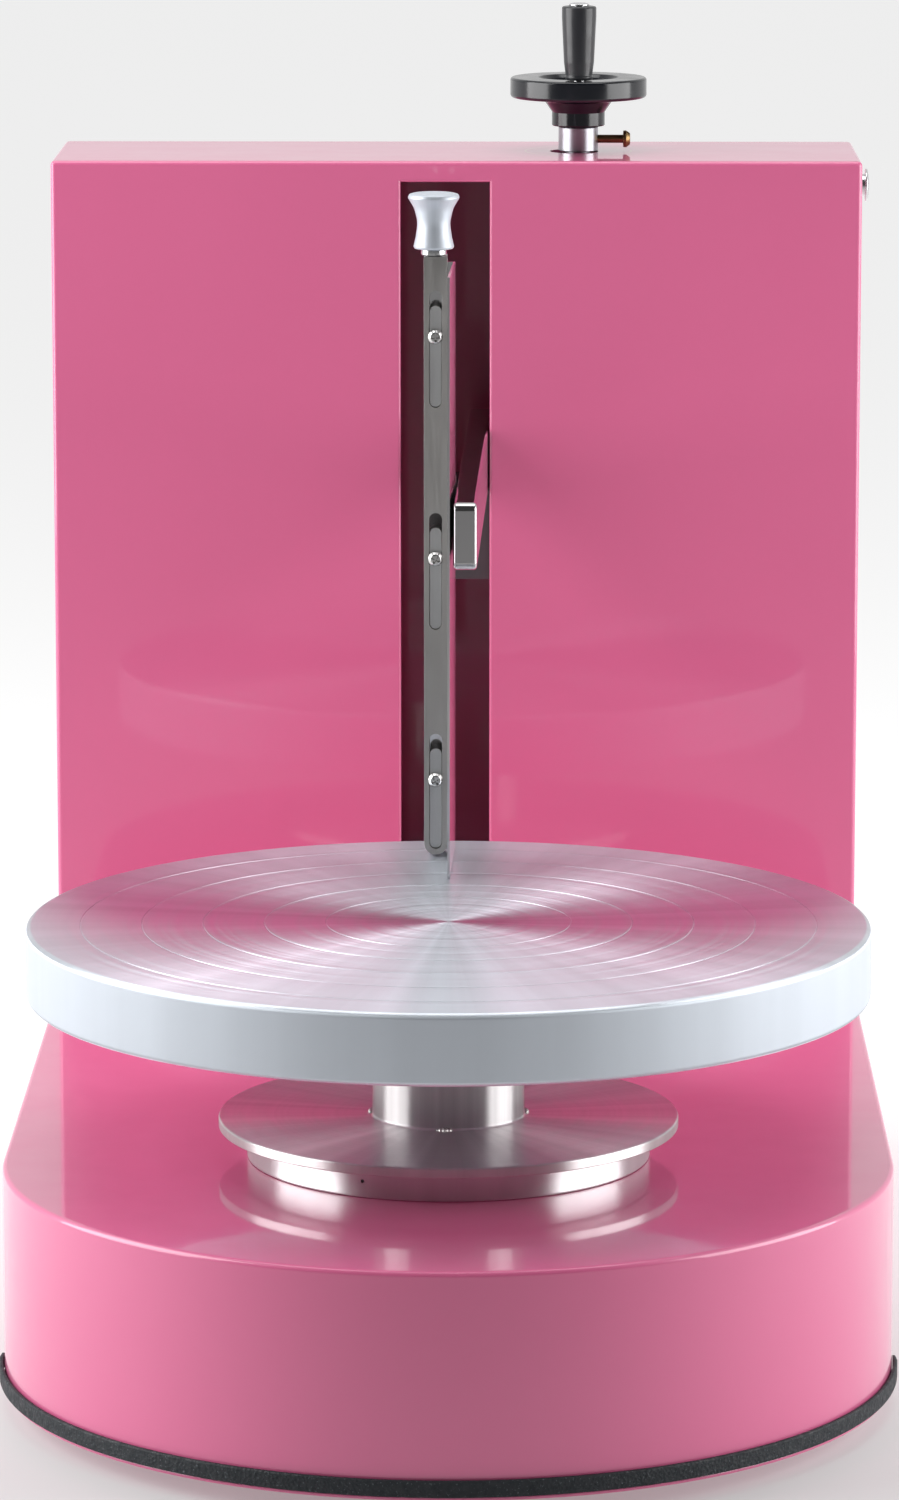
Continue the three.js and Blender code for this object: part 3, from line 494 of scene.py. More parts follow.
pink = pink_paint()
# The seventh number given to turned_metal is the strength of its painted sheen.
plate_metal = turned_metal("turned_aluminium", (0.76, 0.805, 0.87), 0.38, 300, 0.88, 0.002, 0.06)
# The rim's metal: rougher than the top's, and darker in colour as painted shade on the plate's side.
shaded_rim_metal = turned_metal("rim_aluminium_shaded", (0.66, 0.70, 0.755), 0.55, 300, 0.6, 0.002, 0.02, 0.0)
flange_metal = turned_metal("turned_stainless", (0.66, 0.645, 0.645), 0.36, 400, 0.92, 0.003, 0.08)
seat_metal = turned_metal("turned_seat_steel", (0.72, 0.71, 0.72), 0.36, 400, 0.85, 0.003, 0.04)
bright_steel = turned_metal("bright_turned_steel", (0.70, 0.70, 0.71), 0.22, 600, 0.6, 0.003, 0.03)
collar_steel = turned_metal("collar_steel", (0.49, 0.50, 0.535), 0.38, 600, 0.5, 0.003, 0.03)
knob_metal = turned_metal(
    "satin_aluminium", (0.58, 0.62, 0.68), 0.5, 600, 0.2, 0.003, 0.02, metallic=0.5)
bar_steel = brushed_metal("bar_steel", (0.47, 0.455, 0.44), 0.38, "Z")
key_steel = brushed_metal("key_steel", (0.52, 0.52, 0.52), 0.4, "Z")
blade_steel = brushed_metal("blade_mirror_steel", (0.78, 0.77, 0.78), 0.07, "Z", 30, 0.003, 0.03)
arm_steel = brushed_metal("arm_polished_steel", (0.60, 0.585, 0.59), 0.14, "Y", 40, 0.004, 0.05)
plate_steel = brushed_metal("bracket_steel", (0.22, 0.21, 0.215), 0.4, "Z", 30, 0.01, 0.1)
rod_steel = brushed_metal("ground_rod_steel", (0.66, 0.66, 0.67), 0.12, "Z", 1, 0.002, 0.03)
screw_steel = turned_metal("screw_steel", (0.72, 0.71, 0.70), 0.2, 2000, 0.2, 0.004, 0.04)
case_steel = brushed_metal("galvanised_case", (0.55, 0.56, 0.56), 0.4, "X", 8, 0.02, 0.12)
dark_metal = brushed_metal("dark_steel", (0.12, 0.12, 0.125), 0.4, "X", 12, 0.02, 0.12)
brass_metal = turned_metal("aged_brass", (0.31, 0.20, 0.09), 0.36, 2500, 0.2, 0.01, 0.12)
gear_metal = cast_metal("cast_grey_metal", (0.16, 0.165, 0.17))
wheel_black = gloss_black("wheel_gloss_black", (0.004, 0.005, 0.008), 0.2, 120, 0.01, 0.25, 0.08)
grip_black = gloss_black("grip_black_plastic", (0.012, 0.013, 0.016), 0.36, 800, 0.03, 0.25)
switch_black = gloss_black("switch_black_plastic", (0.010, 0.010, 0.011), 0.35, 1500, 0.03, 0.1)
# The last colour given to grained_rubber is that of its painted glints.
rubber = grained_rubber("grained_rubber", (0.012, 0.016, 0.020), (0.12, 0.14, 0.155))
belt_rubber = grained_rubber("belt_rubber", (0.012, 0.012, 0.013), (0.03, 0.03, 0.03), 900)
board_green = circuit_board()

# ---- Base ----

SHEET = 1.5
BASE_RADIUS = 185.0
BASE_BEND = 2.2
FRONT_STEPS = 96
BEND_STEPS = 6
SEAT_HOLE_RADIUS = 46.0
WIRING_HOLE = (-110.0, 380.0)
WIRING_HOLE_RADIUS = 12.0
ROCKER_HOLE = (10.0, 7.0)  # half its width, half its height
INLET_HOLE = (14.0, 10.5)
KNOB_HOLE_RADIUS = 4.0
base_low, base_high = span("base_shell")
NOSE_Y = base_low.y + BASE_RADIUS
BACK_Y = base_high.y


def d_outline(inset, corner=2.0):
    """The base's outline: round in front, straight sides, and a straight back with tight bends."""
    radius = BASE_RADIUS - inset
    back = BACK_Y - inset
    bend = max(corner - inset, 0.4)
    points = []
    for step in range(FRONT_STEPS + 1):
        angle = math.pi + math.pi * step / FRONT_STEPS
        points.append((radius * math.cos(angle), NOSE_Y + radius * math.sin(angle)))
    for centre_x, first in ((radius - bend, 0.0), (bend - radius, math.pi / 2)):
        for step in range(ARC_STEPS + 1):
            angle = first + math.pi / 2 * step / ARC_STEPS
            points.append((centre_x + bend * math.cos(angle), back - bend + bend * math.sin(angle)))
    return points


def stack(name, layers):
    """A solid from closed outlines at rising heights, capped at both ends."""
    bm = bmesh.new()
    rings = [[bm.verts.new((x, y, z)) for x, y in outline] for outline, z in layers]
    skin(bm, rings)
    return make(name, bm)


def fillet_layers(low, high, radius):
    """Base outlines from low to high, with the top edge rounded."""
    layers = [(d_outline(0), low), (d_outline(0), high - radius)]
    for step in range(1, BEND_STEPS + 1):
        angle = math.pi / 2 * step / BEND_STEPS
        inset = radius * (1 - math.cos(angle))
        layers.append((d_outline(inset), high - radius + radius * math.sin(angle)))
    return layers


def build_base():
    """The base's cover, open below, with its holes, and the plate under it."""
    low, high = base_low.z, base_high.z
    shell = stack("base_cover", fillet_layers(low, high, BASE_BEND))
    inner = d_outline(SHEET)
    cut(shell, stack("inside", [(inner, low - CUT), (inner, high - SHEET)]))
    rocker, knob, inlet = middle("rocker_frame"), middle("speed_knob"), middle("inlet_socket")
    rocker_y, rocker_z = about(rocker.y, ROCKER_HOLE[0]), about(rocker.z, ROCKER_HOLE[1])
    inlet_x, inlet_z = about(inlet.x, INLET_HOLE[0]), about(inlet.z, INLET_HOLE[1])
    cut(
        shell,
        rod("seat_hole", SEAT_HOLE_RADIUS, *about(high, CUT), segments=64),
        rod("wiring_hole", WIRING_HOLE_RADIUS, *about(high, CUT), (*WIRING_HOLE, 0)),
        block("rocker_hole", about(BASE_RADIUS, CUT), rocker_y, rocker_z),
        rod("knob_hole", KNOB_HOLE_RADIUS, *about(BACK_Y, CUT), (knob.x, 0, knob.z), TO_BACK),
        block("inlet_hole", inlet_x, about(BACK_Y, CUT), inlet_z))
    show(shell, "frame", "pink_paint", pink, "base_shell")
    refined("bottom_plate", "pink_paint", pink, 0.4, 2)


TRIM_GAP = 0.5  # from the base to the strip
TRIM_STEPS = 220
TRIM_TIP_STEPS = 3


def build_trim():
    """The rubber strip round the front of the base: a rounded section that thins at both tips."""
    low, high = span("edge_trim")
    outer = high.x
    inner = BASE_RADIUS + TRIM_GAP
    section = soften([
        (inner, low.z, 0.4),
        (outer, low.z, 0.8),
        (outer, high.z, 0.8),
        (inner, high.z, 0.4),
    ], closed=True)
    bm = bmesh.new()
    rings = []
    for step in range(TRIM_STEPS + 1):
        angle = math.pi + math.pi * step / TRIM_STEPS
        tip = min(step, TRIM_STEPS - step) / TRIM_TIP_STEPS
        shrink = min(1.0, 0.72 + 0.28 * tip)
        ring = []
        for radius, z in section:
            near = inner + (radius - inner) * shrink
            height = low.z + (z - low.z) * (0.9 + 0.1 * min(1.0, tip))
            ring.append(bm.verts.new((near * math.cos(angle), NOSE_Y + near * math.sin(angle), height)))
        rings.append(ring)
    skin(bm, rings)
    show(make("trim_strip", bm), "frame", "black_rubber", rubber, "edge_trim")


def build_feet():
    for place in ("front_left", "front_right", "rear_left", "rear_right"):
        node = f"foot_{place}"
        low, high = span(node)
        centre = middle(node)
        radius = (high.x - low.x) / 2
        top = high.z
        foot = lathe(f"{node}_pad", [
            (0, 2.5),
            (3.6, 2.5),
            (3.6, 0, 0.5),
            (radius - 2, 0, 1.0),
            (radius - 0.6, top - 3.4, 0.6),
            (radius - 1.6, top - 2.6, 0.5),
            (radius, top - 1.6, 0.5),
            (radius, top),
            (0, top),
        ], (centre.x, centre.y, 0), segments=48)
        show(foot, "frame", "black_rubber", belt_rubber, node)


# ---- Column ----

SLOT_LEFT = -25.4
SLOT_RIGHT = 15.3
SLOT_BOTTOM = 129.0
SLOT_TOP = 473.5
SLOT_LIP = 8.0
SLOT_BEND = 1.4
SHEET_BEND = 2.2
RETURN_FLANGE = 14.0
REAR_SILL = 12.0  # height of the turned-up edge behind the foot of the rear cover
COLLAR_HOLE_RADIUS = 11.2
COLLAR_HOLE_SHIFT = Vector((-1.9, -1.4, 0))  # from the collar's middle
BUTTON_HOLE_RADIUS = 6.3
SCREW_HOLE_RADIUS = 1.9
RUB_RADIUS = 24.5
RUB_WIDTH = 0.7
column_low, column_high = span("column_shell")
collar_middle = middle("shaft_collar")


def column_sheet():
    """The column's folded sheet, open behind, with a lip that stands inward round the slot."""
    front, back = column_low.y, column_high.y
    bottom, top = column_low.z, column_high.z
    half = column_high.x
    inner = half - SHEET
    opening = half - RETURN_FLANGE
    shell = block("column_cover", (-half, half), (front, back), (bottom, top))
    rear_z = (bottom + REAR_SILL, top - RETURN_FLANGE)
    cut(
        shell,
        block("inside", (-inner, inner), (front + SHEET, back - SHEET), (0, top - SHEET)),
        block("rear", (-opening, opening), about(back, CUT), rear_z))
    lip_x = (SLOT_LEFT - SHEET, SLOT_RIGHT + SHEET)
    lip_z = (SLOT_BOTTOM - SHEET, SLOT_TOP + SHEET)
    return join(shell, block("lip", lip_x, (front, front + SLOT_LIP), lip_z))


def cut_column(shell):
    """Cuts the slot, and the holes for the collar, the button and the screws of the rear cover."""
    front, back = column_low.y, column_high.y
    button = middle("push_button")
    collar = collar_middle + COLLAR_HOLE_SHIFT
    slot_y = (front - CUT, front + SLOT_LIP + CUT)
    cut(
        shell,
        block("slot", (SLOT_LEFT, SLOT_RIGHT), slot_y, (SLOT_BOTTOM, SLOT_TOP)),
        rod("collar_hole", COLLAR_HOLE_RADIUS, *about(column_high.z, CUT), (collar.x, collar.y, 0)),
        rod("button_hole", BUTTON_HOLE_RADIUS, *about(column_high.x, CUT), (0, button.y, button.z), TO_X))
    for index in range(1, 5):
        screw = middle(f"cover_screw_{index}")
        place = (screw.x, 0, screw.z)
        cut(shell, rod("screw_hole", SCREW_HOLE_RADIUS, *about(back, CUT), place, TO_BACK, 24))


def near(value, target):
    return abs(value - target) < 0.02


def column_bend(low, high):
    """Whether an edge is one of the column's outer bends: upright at a corner, or round the top."""
    at_side = near(abs(low.x), column_high.x) and near(low.x, high.x)
    at_face = near(low.y, high.y) and (near(low.y, column_low.y) or near(low.y, column_high.y))
    at_top = near(low.z, column_high.z) and near(high.z, column_high.z)
    return (at_side and at_face) or (at_top and (at_side or at_face))


def slot_edge(low, high):
    """Whether an edge lies round the slot, in the column's front."""
    inside = low.x > SLOT_LEFT - 0.1 and high.x < SLOT_RIGHT + 0.1
    return inside and near(low.y, column_low.y) and near(high.y, column_low.y)


def build_column():
    shell = column_sheet()
    cut_column(shell)
    round_edges(shell, SHEET_BEND, column_bend, 5, clamp=False)
    round_edges(shell, SLOT_BEND, slot_edge, 4, clamp=False)
    centre = Vector((collar_middle.x, collar_middle.y, column_high.z)) * MM
    column_paint = pink_paint("pink_gloss_paint_column", (centre, RUB_RADIUS, RUB_WIDTH))
    show(shell, "frame", "pink_paint", column_paint, "column_shell")


VENT_XS = (-110.0, 110.0)
VENT_ROWS = 6
VENT_PITCH = 12.0
VENT_BOTTOM = 170.0
LOUVRE_HALF = 32.0
LOUVRE_HEIGHT = 7.6
LOUVRE_DEPTH = 3.4
LOUVRE_SHEET = 0.9
COVER_SCREW = {"head": 3.4, "height": 2.2, "shank": 1.6, "length": 8}


def louvre(bm, x, y, z):
    """A pressed hood over one vent slot, open below, that runs out into the panel at both ends."""
    rings = []
    steps, arc = 24, 6
    for step in range(steps + 1):
        along = 2 * step / steps - 1
        swell = max(0.04, 1 - abs(along) ** 6)
        outer, inner = [], []
        for turn in range(arc + 1):
            angle = math.pi / 2 * turn / arc
            for line, trim in ((outer, 0), (inner, LOUVRE_SHEET)):
                depth = (LOUVRE_DEPTH - trim) * swell * math.sin(angle)
                height = z + (LOUVRE_HEIGHT - trim) * swell * math.cos(angle)
                line.append(bm.verts.new((x + along * LOUVRE_HALF, y + max(depth, 0), height)))
        rings.append(outer + inner[::-1])
    skin(bm, rings)


def build_rear_cover():
    """The rear panel: rounded edges, and a pressed louvre over each vent slot."""
    refined("rear_cover", "pink_paint", pink, 0.35, 2)
    face = span("rear_cover")[1].y - 0.05
    for side, x in zip(("left", "right"), VENT_XS):
        bm = bmesh.new()
        for row in range(VENT_ROWS):
            louvre(bm, x, face, VENT_BOTTOM + row * VENT_PITCH - 1)
        show(make(f"louvres_{side}", bm), "frame", "pink_paint", pink)
    for index in range(1, 5):
        node = f"cover_screw_{index}"
        centre = middle(node)
        seat = (centre.x, span(node)[1].y - COVER_SCREW["height"], centre.z)
        pan_screw(f"{node}_head", seat, TO_BACK, node, "stainless", **COVER_SCREW)


def cross_recess(size, depth):
    """The cutter of a cross-head recess, centred on Z, from z = -depth to above z = 0."""
    arm, width = size / 2, size * 0.12
    cutter = None
    for x, y in ((arm, width), (width, arm)):
        outline = [(-x, -y), (x, -y), (x, y), (-x, y)]
        piece = prism("recess", outline, -depth, 0.6, foot=0.55)
        cutter = join(cutter, piece) if cutter else piece
    return cutter


def drive_cross(screw, head, height):
    """Cuts a cross recess into a screw's head."""
    cutter = cross_recess(head * 1.45, height * 0.75)
    cutter.location += Vector((0, 0, height * MM))
    cut(screw, cutter)


def drive_slot(screw, head, height):
    """Cuts a straight slot into a screw's head."""
    cut(screw, block("slot", about(0, head * 2), about(0, head * 0.14), (height * 0.45, height + 2)))


def seat_screw(screw, seat, turn):
    """Turns a finished screw from the Z axis and puts it at its seat."""
    screw.data.transform(turn)
    screw.location = AXIS + Vector(seat) * MM
    return screw


def pan_screw(
        name, seat, turn, node, slot, head, height, shank, length, drive=drive_cross,
        material=screw_steel):
    """A pan-head screw that stands for a CAD node. head and shank are radii."""
    screw = lathe(name, [
        (0, -length),
        (shank * 0.7, -length),
        (shank, -length + shank * 0.6),
        (shank, -0.2),
        (head * 0.97, 0, 0.1),
        (head, height * 0.4, height * 0.3),
        (head * 0.66, height, height * 0.35),
        (0, height),
    ], segments=40)
    drive(screw, head, height)
    show(seat_screw(screw, seat, turn), body_of(node), slot, material, node)


# ---- Turntable ----

GROOVES = (50.8, 76.2, 101.6, 127.0, 152.4)
GROOVE_HALF = 0.28
GROOVE_DEPTH = 0.22
PLATE_RADIUS = 175.0
RIM_WIDTH = 14.0
WEB_DEPTH = 9.0  # from the plate's top to the underside of its thin part
PAD_RADIUS = 44.0
BOSS_RADIUS = 31.7
BOSS_BORE = 15.3
FLANGE_HEIGHT = 4.4
WELDS = (5, 95, 175, 268)  # degrees round the boss
WELD_SPREAD = 13.0
WELD_SIZE = 1.7
SEAT_BORE = 31.3
SEAT_SHELF = 27.0
SEAT_SHELF_Z = (87.3, 92.7)
SEAT_NECK = 45.0
GRUB_RADIUS = 0.75
GRUB_TURN = -24.0
GRUB_RISE = 7.0  # above the base


def build_seat():
    """The bearing seat: a ring on the base, with a shelf inside and a grub screw's hole in front."""
    low, high = span("bearing_seat")
    radius = high.x
    top = high.z
    base = base_high.z + 0.3
    seat = lathe("seat_ring", [
        (SEAT_BORE, low.z),
        (SEAT_NECK, low.z),
        (SEAT_NECK, base),
        (radius - 0.2, base),
        (radius, base + 0.6, 0.2),
        (radius, top, 0.7),
        (34, top, 0.5),
        (33, top - 1.5),
        (SEAT_BORE, top - 1.5),
        (SEAT_BORE, SEAT_SHELF_Z[1]),
        (SEAT_SHELF, SEAT_SHELF_Z[1]),
        (SEAT_SHELF, SEAT_SHELF_Z[0]),
        (SEAT_BORE, SEAT_SHELF_Z[0]),
    ], segments=160, closed=True)
    hole = rod("grub_hole", GRUB_RADIUS, radius - 4, radius + 3, turn=TO_FRONT, segments=24)
    hole.rotation_euler = (0, 0, math.radians(GRUB_TURN))
    hole.location += Vector((0, 0, (base_high.z + GRUB_RISE) * MM))
    bpy.context.view_layer.update()
    cut(seat, hole)
    show(seat, "frame", "stainless", seat_metal, "bearing_seat")


def build_plate():
    """The round plate: rings turned into its top, hollow below, with the rim in its own metal: rougher
    than the top, and darker in colour as painted shade.
    """
    top = plate_high.z / MM
    under = plate_low.z / MM
    web = top - WEB_DEPTH
    profile = [(0, top)]
    for groove in GROOVES:
        profile += [
            (groove - GROOVE_HALF, top),
            (groove - GROOVE_HALF * 0.4, top - GROOVE_DEPTH),
            (groove + GROOVE_HALF * 0.4, top - GROOVE_DEPTH),
            (groove + GROOVE_HALF, top),
        ]
    edge = PLATE_RADIUS
    profile += [
        (edge - 0.001, top, 2.4),
        (edge, under, 2.0),
        (edge - RIM_WIDTH, under, 1.0),
        (edge - RIM_WIDTH, web, 3.0),
        (PAD_RADIUS, web, 3.0),
        (PAD_RADIUS, under, 1.0),
        (0, under),
    ]
    plate = lathe("turntable_disc", profile, segments=256)
    show(plate, "turntable", "turned_aluminium", plate_metal, "turntable_plate", angle=50)
    # The rim's faces get the rougher metal whose darker colour is painted shade.
    plate.data.materials.append(shaded_rim_metal)
    for polygon in plate.data.polygons:
        reach = math.hypot(polygon.center.x, polygon.center.y) / MM
        if reach > edge - 2.6 and abs(polygon.normal.z) < 0.7:
            polygon.material_index = 1


def build_hub():
    low, high = span("hub_flange")
    radius = high.x
    top = low.z + FLANGE_HEIGHT
    hub = lathe("hub", [
        (BOSS_BORE, low.z),
        (radius, low.z, 0.5),
        (radius, top, 0.8),
        (BOSS_RADIUS + 0.01, top, 1.2),
        (BOSS_RADIUS, high.z - 2.2),
        (BOSS_RADIUS - 0.5, high.z),
        (BOSS_BORE, high.z),
    ], segments=160, closed=True)
    show(hub, "turntable", "stainless", flange_metal, "hub_flange")
    for index, degrees in enumerate(WELDS):
        weld_spot(f"hub_weld_{index + 1}", math.radians(degrees), top)


def weld_spot(name, angle, height):
    """A short rippled bead in the corner of the boss and the flange."""
    bm = bmesh.new()
    rings = []
    steps, around = 26, 12
    for step in range(steps + 1):
        part = step / steps
        swing = angle + math.radians(WELD_SPREAD) * (part - 0.5)
        fade = math.sqrt(max(0.0, 1 - (2 * part - 1) ** 2)) + 0.05
        ripple = 1 + 0.14 * math.sin(part * 34)
        size = WELD_SIZE * fade * ripple
        ring = []
        for turn in range(around):
            corner = 2 * math.pi * turn / around
            reach = BOSS_RADIUS + 0.1 + size * math.cos(corner) * 0.9
            z = height + 0.1 + size * math.sin(corner) * 0.75
            ring.append(bm.verts.new((reach * math.cos(swing), reach * math.sin(swing), z)))
        rings.append(ring)
    skin(bm, rings)
    show(make(name, bm), "turntable", "stainless", bar_steel)


def build_drive():
    for node, slot, material, radius in (
            ("spindle", "dark_steel", bright_steel, 0.8),
            ("spindle_nut", "dark_steel", screw_steel, 0.7),
            ("driven_pulley", "turned_aluminium", knob_metal, 0.3),
            ("motor_pulley", "turned_aluminium", knob_metal, 0.25),
            ("drive_belt", "black_rubber", belt_rubber, 0.4),
            ("gear_motor", "cast_metal", gear_metal, 1.2),
            ("motor_bracket", "dark_steel", dark_metal, 0.5),
            ("control_board", "circuit_board", board_green, 0.3),
            ("power_supply", "power_supply_case", case_steel, 0.8)):
        refined(node, slot, material, radius)
    for node in ("upper_bearing", "lower_bearing", "lower_screw_bearing", "upper_screw_bearing"):
        refined(node, "stainless", bright_steel, 0.5)


# ---- Controls ----

FLUTES = 24
FLUTE_DEPTH = 0.32
DIAL_TURN = 150.0


def build_controls():
    refined("rocker_frame", "black_plastic", switch_black, 0.4)
    refined("power_rocker", "black_plastic", grip_black, 0.5)
    refined("inlet_socket", "black_plastic", switch_black, 0.4)
    refined("speed_pot", "dark_steel", dark_metal, 0.3)
    build_speed_knob()
    build_button()


def build_speed_knob():
    """The speed knob on the back, with fine flutes and a mark on its face."""
    low, high = span("speed_knob")
    centre = middle("speed_knob")
    wall = low.y
    reach = high.y - wall

    def fluted(radius, height, angle):
        if not 4.5 < height < 13.5 or radius < 7:
            return radius
        return radius - FLUTE_DEPTH * (0.5 + 0.5 * math.cos(angle * FLUTES))

    knob = lathe("speed_dial", [
        (0, 6.2),
        (3.3, 6.2),
        (3.3, 0),
        (11.5, 0, 0.3),
        (11.5, 1.7, 0.5),
        (9.6, 3.2, 0.6),
        (9.45, 4.6),
        (9.35, 8.0),
        (9.2, 13.2),
        (9.0, 14.2, 0.7),
        (7.6, 14.2, 0.3),
        (7.2, 13.9, 0.2),
        (0, 13.9),
    ], (centre.x, wall, centre.z), TO_BACK, 144, radius_at=fluted)
    show(knob, "speed_knob", "black_plastic", grip_black, "speed_knob")
    outline = [(-0.45, 2.2), (0.45, 2.2), (0.45, 7.0), (-0.45, 7.0)]
    turn = TO_BACK @ Matrix.Rotation(math.radians(DIAL_TURN), 4, "Z")
    mark = prism("dial_mark", outline, reach - 0.6, reach, (centre.x, wall, centre.z), turn)
    round_edges(mark, 0.12)
    show(mark, "speed_knob", "stainless", knob_metal)


def build_button():
    centre = middle("button_bezel")
    wall = BASE_RADIUS
    bezel = lathe("button_ring", [
        (5.4, wall - 14),
        (6, wall - 14),
        (6, wall + 0.3),
        (9.35, wall + 0.3, 0.1),
        (9.35, wall + 1.2, 0.5),
        (6.4, wall + 1.2, 0.3),
        (5.4, wall + 0.7),
    ], (0, centre.y, centre.z), TO_X, 64, closed=True)
    show(bezel, "frame", "stainless", bright_steel, "button_bezel")
    cap = lathe("button_cap", [
        (0, wall - 9),
        (5.1, wall - 9, 0.3),
        (5.1, wall + 3.2),
        (7.6, wall + 3.2, 0.2),
        (7.4, wall + 4.1, 0.5),
        (4.6, wall + 4.85, 3.0),
        (0, wall + 5),
    ], (0, centre.y, centre.z), TO_X, 64)
    show(cap, "push_button", "stainless", bright_steel, "push_button")


# ---- Lift ----

THREAD_PITCH = 4.0
THREAD_DEPTH = 1.0
THREAD_STEP = 0.5
JOURNAL_RADIUS = 5.0
ROD_BLOCK_END = SLOT_RIGHT + 3  # where the upper rod block is trimmed, out of sight behind the lip


def build_lead_screw():
    """The lead screw, with its real trapezoidal thread between the two journals."""
    low, high = span("lead_screw")
    centre = middle("lead_screw")
    radius = high.x - centre.x
    start = span("lower_rod_block")[1].z + 0.5
    end = span("upper_rod_block")[0].z - 0.5

    def threaded(reach, height, angle):
        if reach < radius - 0.01 or height < start + 1 or height > end - 1:
            return reach
        phase = (height / THREAD_PITCH - angle / (2 * math.pi)) % 1
        flank = min(max((abs(phase - 0.5) - 0.14) / 0.16, 0), 1)
        return reach - THREAD_DEPTH * (1 - flank)

    profile = [(0, low.z), (JOURNAL_RADIUS, low.z, 0.5), (JOURNAL_RADIUS, start), (radius, start)]
    steps = int((end - start) / THREAD_STEP)
    profile += [(radius, start + (end - start) * step / steps) for step in range(1, steps + 1)]
    profile += [(JOURNAL_RADIUS, end), (JOURNAL_RADIUS, high.z, 0.5), (0, high.z)]
    screw = lathe("lift_screw", profile, (centre.x, centre.y, 0), segments=32, radius_at=threaded)
    show(screw, "handwheel", "stainless", bright_steel, "lead_screw", angle=60)


def build_lift():
    build_lead_screw()
    for side in ("left", "right"):
        refined(f"guide_rod_{side}", "stainless", rod_steel, 0.6)
        refined(f"carriage_bush_{side}", "stainless", bright_steel, 0.4)
    for node in ("lower_rod_block", "carriage_block"):
        refined(node, "cast_metal", gear_metal, 0.9)
    low, high = span("upper_rod_block")
    trim_y, trim_z = (low.y - CUT, high.y + CUT), (low.z - CUT, high.z + CUT)
    trim = block("trim", (low.x - CUT, ROD_BLOCK_END), trim_y, trim_z)
    refined("upper_rod_block", "cast_metal", gear_metal, 0.9, cutter=trim)
    refined("lift_nut", "brass", brass_metal, 0.5)


# ---- Handwheel ----

SHAFT_BORE = 5.3
BOLT_BORE = 3.3
LOCK_SCREW = {"head": 3.95, "height": 3.2, "shank": 1.9, "length": 15}
LOCK_SCREW_TURN = 25.0


def build_handwheel():
    build_wheel()
    build_collar()
    build_crank_grip()
    build_crank_bolt()


def build_wheel():
    """The dished handwheel, with a boss below and a hole for the crank's bolt."""
    low, high = span("handwheel")
    centre = middle("handwheel")
    top = high.z
    rim = high.x - centre.x
    under = top - 9.4
    wheel = lathe("wheel", [
        (0, top - 11.7),
        (SHAFT_BORE, top - 11.7),
        (SHAFT_BORE, low.z),
        (12.25, low.z, 0.6),
        (12.25, low.z + 6.4, 0.5),
        (15.6, low.z + 11.2, 1.6),
        (20, under, 1.0),
        (rim, under, 1.6),
        (rim, top, 1.3),
        (18.6, top, 1.0),
        (17.2, top - 1.6, 0.6),
        (15.4, top - 4.7, 1.2),
        (8, top - 5, 0.5),
        (7, top - 4.4, 0.5),
        (0, top - 4.3),
    ], (centre.x, centre.y, 0), segments=128)
    crank = middle("crank_handle")
    cut(wheel, rod("bolt_hole", BOLT_BORE, top - 7, top + 5, (crank.x, crank.y, 0)))
    show(wheel, "handwheel", "black_gloss", wheel_black, "handwheel")


def build_collar():
    """The collar under the handwheel, narrow where it passes the column's top, and its screw."""
    low, high = span("shaft_collar")
    centre = middle("shaft_collar")
    reach = high.x - centre.x
    seam = column_high.z + 0.3
    collar = lathe("collar", [
        (SHAFT_BORE, low.z),
        (6.4, low.z),
        (6.4, seam),
        (reach, seam, 0.3),
        (reach, high.z, 0.7),
        (6.2, high.z, 0.3),
        (SHAFT_BORE, high.z - 0.8),
    ], (centre.x, centre.y, 0), segments=72, closed=True)
    screw = middle("collar_screw")
    cut(collar, rod("screw_hole", 2.2, 4, 15, (centre.x, centre.y, screw.z), TO_X, 32))
    show(collar, "handwheel", "stainless", collar_steel, "shaft_collar")
    seat = (span("collar_screw")[1].x - LOCK_SCREW["height"], centre.y, screw.z)
    turn = TO_X @ Matrix.Rotation(math.radians(LOCK_SCREW_TURN), 4, "Z")
    pan_screw(
        "collar_lock_screw", seat, turn, "collar_screw", "brass", **LOCK_SCREW,
        drive=drive_slot, material=brass_metal)


def build_crank_grip():
    low, high = span("crank_handle")
    centre = middle("crank_handle")
    foot, top = low.z, high.z
    grip = lathe("crank_grip", [
        (BOLT_BORE, foot),
        (6.1, foot, 0.4),
        (6.5, foot + 1.4, 0.6),
        (6.1, foot + 2.2, 0.5),
        (6.9, foot + 8, 8.0),
        (7.9, top - 5.0, 9.0),
        (7.9, top - 0.2, 0.9),
        (5.4, top, 0.5),
        (BOLT_BORE, top),
    ], (centre.x, centre.y, 0), segments=96, closed=True)
    show(grip, "crank_handle", "black_gloss", grip_black, "crank_handle")


def build_crank_bolt():
    """The crank's bolt, on the grip's axis."""
    centre = middle("crank_handle")
    low, high = span("crank_bolt")
    cap = high.z
    bolt = lathe("crank_pin", [
        (0, low.z),
        (3, low.z, 0.4),
        (3, cap - 1.2),
        (4.8, cap - 1.2, 0.15),
        (4.7, cap - 0.6, 0.3),
        (3.2, cap - 0.05, 2.0),
        (0, cap),
    ], (centre.x, centre.y, 0), segments=48)
    show(bolt, "handwheel", "stainless", bright_steel, "crank_bolt")


# ---- Arm, bar and blade ----

BLADE_SCREW = {"head": 3.25, "height": 2.3, "shank": 2.0, "length": 15}
BLADE_SCREW_TURN = 31.0  # each screw's cross stands at another angle
BRACKET_SCREWS = ((18.2, 331.5), (36.0, 300.0))


